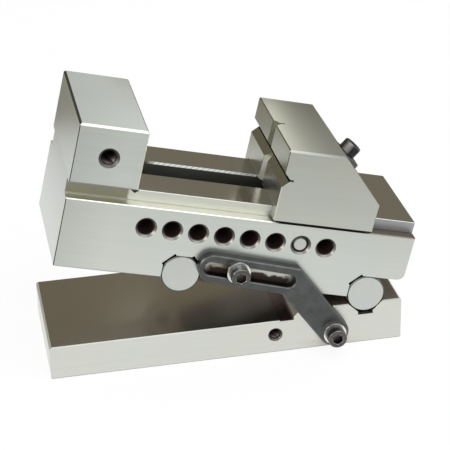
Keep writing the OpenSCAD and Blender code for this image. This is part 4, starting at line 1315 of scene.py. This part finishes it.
def base_steel(steel):
    """The base: ground sides, smooth gauge block area, oily relief strip, oil with painted shade on the hinge
    block, painted bevel tones.
    """
    base = GroundSteel("base_steel", steel, steel.base_colour, tilted=False)
    base.level(steel.gauge_height, steel.gauge_colour, steel.gauge_roughness)
    hinge_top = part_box("base_plate")[1].z
    # Oil film with painted shade on the top of the hinge block, between the bed and the base
    oiled = base.level(hinge_top, steel.oil_and_shade_colour, steel.gauge_roughness)
    base.clear = base.shader.math("MULTIPLY", oiled, HINGE_TOP_CLEAR)
    base.oil = oiled
    base.top_edges(hinge_top, shade(steel.base_colour, HINGE_TOP_EDGE))
    base.level(steel.gauge_height - steel.strip_depth, steel.strip_colour, steel.gauge_roughness)
    base.top_edges(steel.gauge_height, shade(steel.base_colour, GAUGE_EDGE))
    spare = Vector(MOUNTS["spare_arm_hole"]["pos_m"])
    base.round_hole(spare.x, spare.z, steel.countersink_radius)
    return base.material()


class VISE_OT_ground_steel(bpy.types.Operator):
    """Finish the base plate, the vise bed and the movable jaw as ground steel"""

    bl_idname = "vise.ground_steel"
    bl_label = "Ground Steel"

    def execute(self, context):
        steel = context.scene.vise_steel
        dress("vise_bed", bed_steel(steel))
        dress("movable_jaw", jaw_steel(steel))
        dress("base_plate", base_steel(steel))
        return {"FINISHED"}


class VISE_OT_round_steel(bpy.types.Operator):
    """Finish the two rollers and the cross pin as fine ground round steel"""

    bl_idname = "vise.round_steel"
    bl_label = "Rollers and Cross Pin"

    def execute(self, context):
        steel = context.scene.vise_steel
        for node in ("sine_roller", "hinge_roller", "cross_pin"):
            dress(node, turned_steel(node + "_steel", steel, *middle_in_bed(node)))
        return {"FINISHED"}


class VISE_OT_black_parts(bpy.types.Operator):
    """Finish the locking arm, the rocker and the draw bar in black oxide, and the washers bright"""

    bl_idname = "vise.black_parts"
    bl_label = "Black Parts and Washers"

    def execute(self, context):
        black = context.scene.vise_black
        # The arm's upward sides take painted shade, and its rubbed edges a stronger painted highlight
        arm = black_oxide("arm_oxide", black, black.arm_colour, black.arm_roughness, black.arm_edge_radius,
                          least_rub_and_sheen=0.7, top_shade_share=0.45)
        plain = black_oxide("inner_oxide", black, black.rocker_colour, black.rocker_roughness,
                            black.edge_radius)
        washer = bright_metal("washer_steel", black.washer_colour, black.washer_roughness, black.edge_radius)
        dress("locking_arm", arm)
        dress("rocker_seat", plain)
        dress("draw_bar", plain)
        dress("lock_washer", washer)
        dress("pivot_washer", washer)
        return {"FINISHED"}


class VISE_OT_screws(bpy.types.Operator):
    """Build the seven socket head screws with knurl, socket and thread in place of their plain solids"""

    bl_idname = "vise.screws"
    bl_label = "Screws"

    def execute(self, context):
        black = context.scene.vise_black
        settings = context.scene.vise_screws
        finish = (black.screw_colour, black.screw_roughness, black.screw_edge_radius)
        jaw_finish = (black.jaw_screw_shade_colour, black.jaw_screw_roughness, black.screw_edge_radius)
        jaw_axis = Vector(JOINTS["jaw_screw_turn"]["axis"])
        oxide = black_oxide("screw_oxide", black, *finish, rim_sheen=0.4)
        # Painted highlights on one side of the jaw screw's head and of the lock screw's head
        sheen_oxides = {
            "jaw_screw": black_oxide("jaw_screw_oxide", black, *jaw_finish, rim_sheen=0.1,
                                     sheen_side=about_axis(jaw_axis, JAW_SCREW_SHEEN)),
            "lock_screw": black_oxide("lock_screw_oxide", black, *finish, rim_sheen=0.4,
                                      sheen_side=about_axis(ACROSS, LOCK_SCREW_SHEEN)),
        }
        screws = {
            "jaw_screw": ("jaw_bolt", jaw_axis, settings.pitch),
            "lock_screw": ("lock_bolt", ACROSS, settings.pitch),
            "pivot_screw": ("pivot_bolt", ACROSS, settings.pitch),
        }
        for node in ("sine_screw_front", "sine_screw_back", "hinge_screw_front", "hinge_screw_back"):
            screws[node] = ("bed", -BED_Z, settings.roller_pitch)
        for node, (body, axis, pitch) in screws.items():
            metal = sheen_oxides.get(node, oxide)
            made = screw_piece(node + "_cut", measure_screw(node, axis), settings, pitch, metal)
            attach(made, body)
            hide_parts(node)
        return {"FINISHED"}


class VISE_OT_tapped_holes(bpy.types.Operator):
    """Line the two open tapped holes with their threads"""

    bl_idname = "vise.tapped_holes"
    bl_label = "Tapped Holes"

    def execute(self, context):
        settings = context.scene.vise_screws
        # The threads take a dark tone painted for the shade inside the holes
        metal = bright_metal("tapped_steel", settings.tapped_shade_colour, settings.tapped_roughness,
                             settings.tapped_edge_radius)
        holes = {"spare_arm_hole": ("base", settings.pitch), "work_stop_hole": ("bed", settings.stop_pitch)}
        front_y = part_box("base_plate")[0].y
        for name, (body, pitch) in holes.items():
            mount = MOUNTS[name]
            wall_r = mount["dims"]["r_mm"] * MM
            length = mount["dims"]["length_mm"] * MM - settings.tapped_inset
            outward = Vector(mount["axis"])
            front = Vector((mount["pos_m"][0], front_y, mount["pos_m"][2]))
            mouth = axis_matrix(front - outward * settings.tapped_inset, outward)
            depth = settings.tapped_depth * wall_r
            made = tapped_thread(name + "_thread", mouth, wall_r, depth, length, pitch, metal)
            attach(made, body)
        return {"FINISHED"}


class VISE_OT_stage(bpy.types.Operator):
    """Set the camera, the pale floor, the cards that the steel mirrors, and the soft light"""

    bl_idname = "vise.stage"
    bl_label = "Stage"

    def execute(self, context):
        stage = context.scene.vise_stage
        context.scene.view_settings.view_transform = "Standard"
        stage_camera(context.scene, stage)
        stage_floor(context.scene, stage)
        stage_cards(context.scene, stage)
        stage_sheet(context.scene, stage)
        stage_left_card(context.scene, stage)
        stage_left_strip(context.scene, stage)
        stage_light(context.scene, stage)
        stage_world(context.scene, stage)
        return {"FINISHED"}


def stage_camera(scene, stage):
    """The photograph's camera: eye, line of sight and roll."""
    az, el = stage.azimuth, stage.elevation
    right = Vector((math.cos(az), -math.sin(az), 0))
    ahead = Vector((math.sin(az) * math.cos(el), math.cos(az) * math.cos(el), -math.sin(el)))
    down = ahead.cross(right)
    c, s = math.cos(stage.roll), math.sin(stage.roll)
    turned_right = right * c - down * s
    turned_down = right * s + down * c
    data = bpy.data.cameras.new("photo_camera")
    data.sensor_width = 36
    data.lens = stage.lens
    data.clip_start = 0.01
    camera = bpy.data.objects.new("photo_camera", data)
    turn = Matrix((turned_right, -turned_down, -ahead)).transposed().to_4x4()
    camera.matrix_world = Matrix.Translation(stage.eye) @ turn
    scene.collection.objects.link(camera)
    scene.camera = camera


def seen_rays(tree):
    """1 for camera, glossy and transmission rays, which all see the background as it looks."""
    path = tree.nodes.new("ShaderNodeLightPath")
    total = path.outputs["Is Camera Ray"]
    for name in ("Is Glossy Ray", "Is Transmission Ray"):
        most = tree.nodes.new("ShaderNodeMath")
        most.operation = "MAXIMUM"
        tree.links.new(total, most.inputs[0])
        tree.links.new(path.outputs[name], most.inputs[1])
        total = most.outputs[0]
    return total


# The floor lies this far below the base, so that the two faces don't share a plane
FLOOR_GAP = 0.02 * MM


def stage_floor(scene, stage):
    """A round pale floor that shows white and keeps a soft shadow."""
    material = bpy.data.materials.new("pale_floor")
    material.use_nodes = True
    tree = material.node_tree
    tree.nodes.clear()
    output = tree.nodes.new("ShaderNodeOutputMaterial")
    matt = tree.nodes.new("ShaderNodeBsdfDiffuse")
    matt.inputs["Color"].default_value = rgba(stage.floor_colour)
    shaded = tree.nodes.new("ShaderNodeBsdfDiffuse")
    shaded.inputs["Color"].default_value = (stage.floor_shade, stage.floor_shade, stage.floor_shade, 1)
    glow = tree.nodes.new("ShaderNodeEmission")
    glow.inputs["Strength"].default_value = stage.floor_glow
    shown = tree.nodes.new("ShaderNodeAddShader")
    tree.links.new(shaded.outputs[0], shown.inputs[0])
    tree.links.new(glow.outputs[0], shown.inputs[1])
    pick = tree.nodes.new("ShaderNodeMixShader")
    tree.links.new(seen_rays(tree), pick.inputs[0])
    tree.links.new(matt.outputs[0], pick.inputs[1])
    tree.links.new(shown.outputs[0], pick.inputs[2])
    tree.links.new(pick.outputs[0], output.inputs["Surface"])
    made = bmesh.new()
    bmesh.ops.create_circle(made, cap_ends=True, segments=96, radius=stage.floor_radius)
    data = bpy.data.meshes.new("pale_floor")
    made.to_mesh(data)
    made.free()
    data.materials.append(material)
    floor = bpy.data.objects.new("pale_floor", data)
    floor.location.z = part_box("base_plate")[0].z - FLOOR_GAP
    scene.collection.objects.link(floor)
    floor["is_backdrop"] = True


def reflected_card(scene, name, rows):
    """A card of rows of (point, tone) that is seen only as a reflection in the steel."""
    material = bpy.data.materials.new(name)
    material.use_nodes = True
    tree = material.node_tree
    tree.nodes.clear()
    output = tree.nodes.new("ShaderNodeOutputMaterial")
    glow = tree.nodes.new("ShaderNodeEmission")
    tone = tree.nodes.new("ShaderNodeAttribute")
    tone.attribute_name = "tone"
    tree.links.new(tone.outputs["Color"], glow.inputs["Color"])
    tree.links.new(glow.outputs[0], output.inputs["Surface"])
    made = bmesh.new()
    paint = made.verts.layers.float_color.new("tone")
    grid = []
    for row in rows:
        grid.append([made.verts.new(point) for point, _ in row])
        for vertex, (_, colour) in zip(grid[-1], row):
            vertex[paint] = rgba(colour)
    for low, high in zip(grid, grid[1:]):
        for step in range(len(low) - 1):
            made.faces.new((low[step], low[step + 1], high[step + 1], high[step]))
    data = bpy.data.meshes.new(name)
    made.to_mesh(data)
    made.free()
    data.materials.append(material)
    card = bpy.data.objects.new(name, data)
    card.visible_camera = False
    card.visible_diffuse = False
    card.visible_shadow = False
    card.visible_transmission = False
    scene.collection.objects.link(card)
    card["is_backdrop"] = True


# Near card in metres: place along X, end of the dark, start and end of the tone above it, the tone at both
NEAR_CARD = (
    (-0.012, 0.171, 0.175, 0.176, 1.0, 1.0),
    (0.072, 0.171, 0.175, 0.176, 1.0, 1.0),
    (0.077, 0.146, 0.151, 0.190, 1.0, 1.0),
    (0.086, 0.144, 0.149, 0.190, 1.0, 1.0),
    (0.096, 0.142, 0.147, 0.190, 0.34, 0.80),
    (0.114, 0.140, 0.146, 0.190, 0.40, 0.46),
    (0.160, 0.140, 0.146, 0.190, 0.40, 0.46),
    (0.300, 0.148, 0.173, 0.190, 1.0, 1.0),
)
# Sideways run of the tone for each metre up, and its tint
TONE_LEAN = 1.1
TONE_TINT = (1.0, 0.97, 0.86)
# Far card in metres: place along X, foot, end of the dark, start of the white
FAR_CARD = (
    (-0.400, 0.022, 0.420, 0.470),
    (-0.090, 0.022, 0.420, 0.470),
    (-0.060, 0.0, 0.420, 0.470),
    (-0.035, 0.0, 0.420, 0.470),
    (-0.015, 0.0, 0.208, 0.222),
    (0.060, 0.0, 0.208, 0.222),
)
WHITE = (1.0, 1.0, 1.0)


def stage_cards(scene, stage):
    """The two dark cards behind the vise, which fade to lighter tones at their upper edges."""
    y = stage.near_distance
    foot = [((edge[0], y, 0), stage.card_colour) for edge in NEAR_CARD]
    dark = [((edge[0], y, edge[1]), stage.card_colour) for edge in NEAR_CARD]
    start = []
    end = []
    for x, _, low, high, low_tone, high_tone in NEAR_CARD:
        start.append(((x, y, low), shade(TONE_TINT, low_tone)))
        end.append(((x + TONE_LEAN * (high - low), y, high), shade(TONE_TINT, high_tone)))
    reflected_card(scene, "near_card", [foot, dark, start, end])
    y = stage.far_distance
    foot = [((x, y, z), stage.card_colour) for x, z, _, _ in FAR_CARD]
    dark = [((x, y, z), stage.card_colour) for x, _, z, _ in FAR_CARD]
    white = [((x, y, z), WHITE) for x, _, _, z in FAR_CARD]
    reflected_card(scene, "far_card", [foot, dark, white])


# Grey sheet: rows to the front and their distance, columns to each side and theirs, height, least tone
SHEET_ROWS = 9
SHEET_ROW_STEP = 0.07
SHEET_SIDES = 4
SHEET_SIDE_STEP = 0.12
SHEET_HEIGHT = 0.5 * MM
SHEET_LEAST_TONE = 0.55
# How much faster the sheet darkens with each metre to the right
SHEET_LEAN = 5


def stage_sheet(scene, stage):
    """The sheet on the floor in front, which darkens to the front and to the right."""
    rows = []
    for step in range(SHEET_ROWS):
        y = -stage.sheet_start - SHEET_ROW_STEP * step
        row = []
        for side in range(-SHEET_SIDES, SHEET_SIDES + 1):
            x = SHEET_SIDE_STEP * side
            fall = stage.sheet_fall * (-y - stage.sheet_start) * (1 + SHEET_LEAN * x)
            tone = min(1.0, max(SHEET_LEAST_TONE, 1 - fall))
            row.append(((x, y, SHEET_HEIGHT), (tone, tone, 0.985 * tone)))
        rows.append(row)
    reflected_card(scene, "grey_sheet", rows)


# Cards on the left in metres: path of (x, z) that is swept between two places along Y
LEFT_CARD_PATH = ((-0.20, 0.6 * MM), (-0.45, 0.6 * MM), (-0.45, 0.20))
LEFT_CARD_SWEEP = (-0.26, 0.02)
LEFT_STRIP_PATH = ((-0.78, 0.36), (-0.66, 0.66))
LEFT_STRIP_SWEEP = (-0.80, -0.10)


def swept_card(scene, name, path, sweep, tone):
    """A card of one tone, from a path of (x, z) swept along Y."""
    reflected_card(scene, name, [[((x, y, z), tone) for y in sweep] for x, z in path])


def stage_left_card(scene, stage):
    """The dark card on the left, which draws the thin dark line down the upright front edges."""
    swept_card(scene, "left_card", LEFT_CARD_PATH, LEFT_CARD_SWEEP, stage.card_colour)


def stage_left_strip(scene, stage):
    """The light strip high on the left, which draws bright lines on rounded edges and screw heads."""
    tone = (stage.strip_tone, stage.strip_tone, 0.95 * stage.strip_tone)
    swept_card(scene, "left_strip", LEFT_STRIP_PATH, LEFT_STRIP_SWEEP, tone)


def stage_light(scene, stage):
    """One soft key light above and in front, aimed at the vise."""
    data = bpy.data.lights.new("soft_key", "AREA")
    data.shape = "SQUARE"
    data.size = stage.key_size
    data.energy = stage.key_power
    key = bpy.data.objects.new("soft_key", data)
    place = Vector(stage.key_place)
    low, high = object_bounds()
    aim = (low + high) / 2 - place
    key.matrix_world = Matrix.Translation(place) @ aim.to_track_quat("-Z", "Y").to_matrix().to_4x4()
    key.visible_camera = False
    scene.collection.objects.link(key)


def stage_world(scene, stage):
    """Even white light from all round, which shows as plain white."""
    world = bpy.data.worlds.new("white_room")
    world.use_nodes = True
    tree = world.node_tree
    tree.nodes.clear()
    output = tree.nodes.new("ShaderNodeOutputWorld")
    light = tree.nodes.new("ShaderNodeBackground")
    light.inputs["Strength"].default_value = stage.world_light
    shown = tree.nodes.new("ShaderNodeBackground")
    shown.inputs["Strength"].default_value = 1.0
    for side in (light, shown):
        side.inputs["Color"].default_value = (1, 1, 1, 1)
    pick = tree.nodes.new("ShaderNodeMixShader")
    tree.links.new(seen_rays(tree), pick.inputs[0])
    tree.links.new(light.outputs[0], pick.inputs[1])
    tree.links.new(shown.outputs[0], pick.inputs[2])
    tree.links.new(pick.outputs[0], output.inputs["Surface"])
    scene.world = world


OPERATORS = (
    VISE_OT_ground_steel,
    VISE_OT_round_steel,
    VISE_OT_black_parts,
    VISE_OT_screws,
    VISE_OT_tapped_holes,
    VISE_OT_stage,
)
SETTINGS = {
    "vise_steel": SteelSettings,
    "vise_black": BlackSettings,
    "vise_screws": ScrewSettings,
    "vise_stage": StageSettings,
}


class VISE_PT_looks(bpy.types.Panel):
    """Lists the finishing steps of the vise"""

    bl_idname = "VISE_PT_looks"
    bl_label = "Sine Vise"
    bl_space_type = "VIEW_3D"
    bl_region_type = "UI"
    bl_category = "Sine Vise"

    def draw(self, context):
        for operator in OPERATORS:
            self.layout.operator(operator.bl_idname)


CLASSES = (*SETTINGS.values(), *OPERATORS, VISE_PT_looks)


def register():
    for cls in CLASSES:
        bpy.utils.register_class(cls)
    for name, group in SETTINGS.items():
        setattr(bpy.types.Scene, name, bpy.props.PointerProperty(type=group))


def unregister():
    for name in SETTINGS:
        delattr(bpy.types.Scene, name)
    for cls in reversed(CLASSES):
        bpy.utils.unregister_class(cls)


def main():
    register()
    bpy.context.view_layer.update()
    bpy.ops.vise.ground_steel()
    bpy.ops.vise.round_steel()
    bpy.ops.vise.black_parts()
    bpy.ops.vise.screws()
    bpy.ops.vise.tapped_holes()
    bpy.ops.vise.stage()


if __name__ == "__main__":
    main()
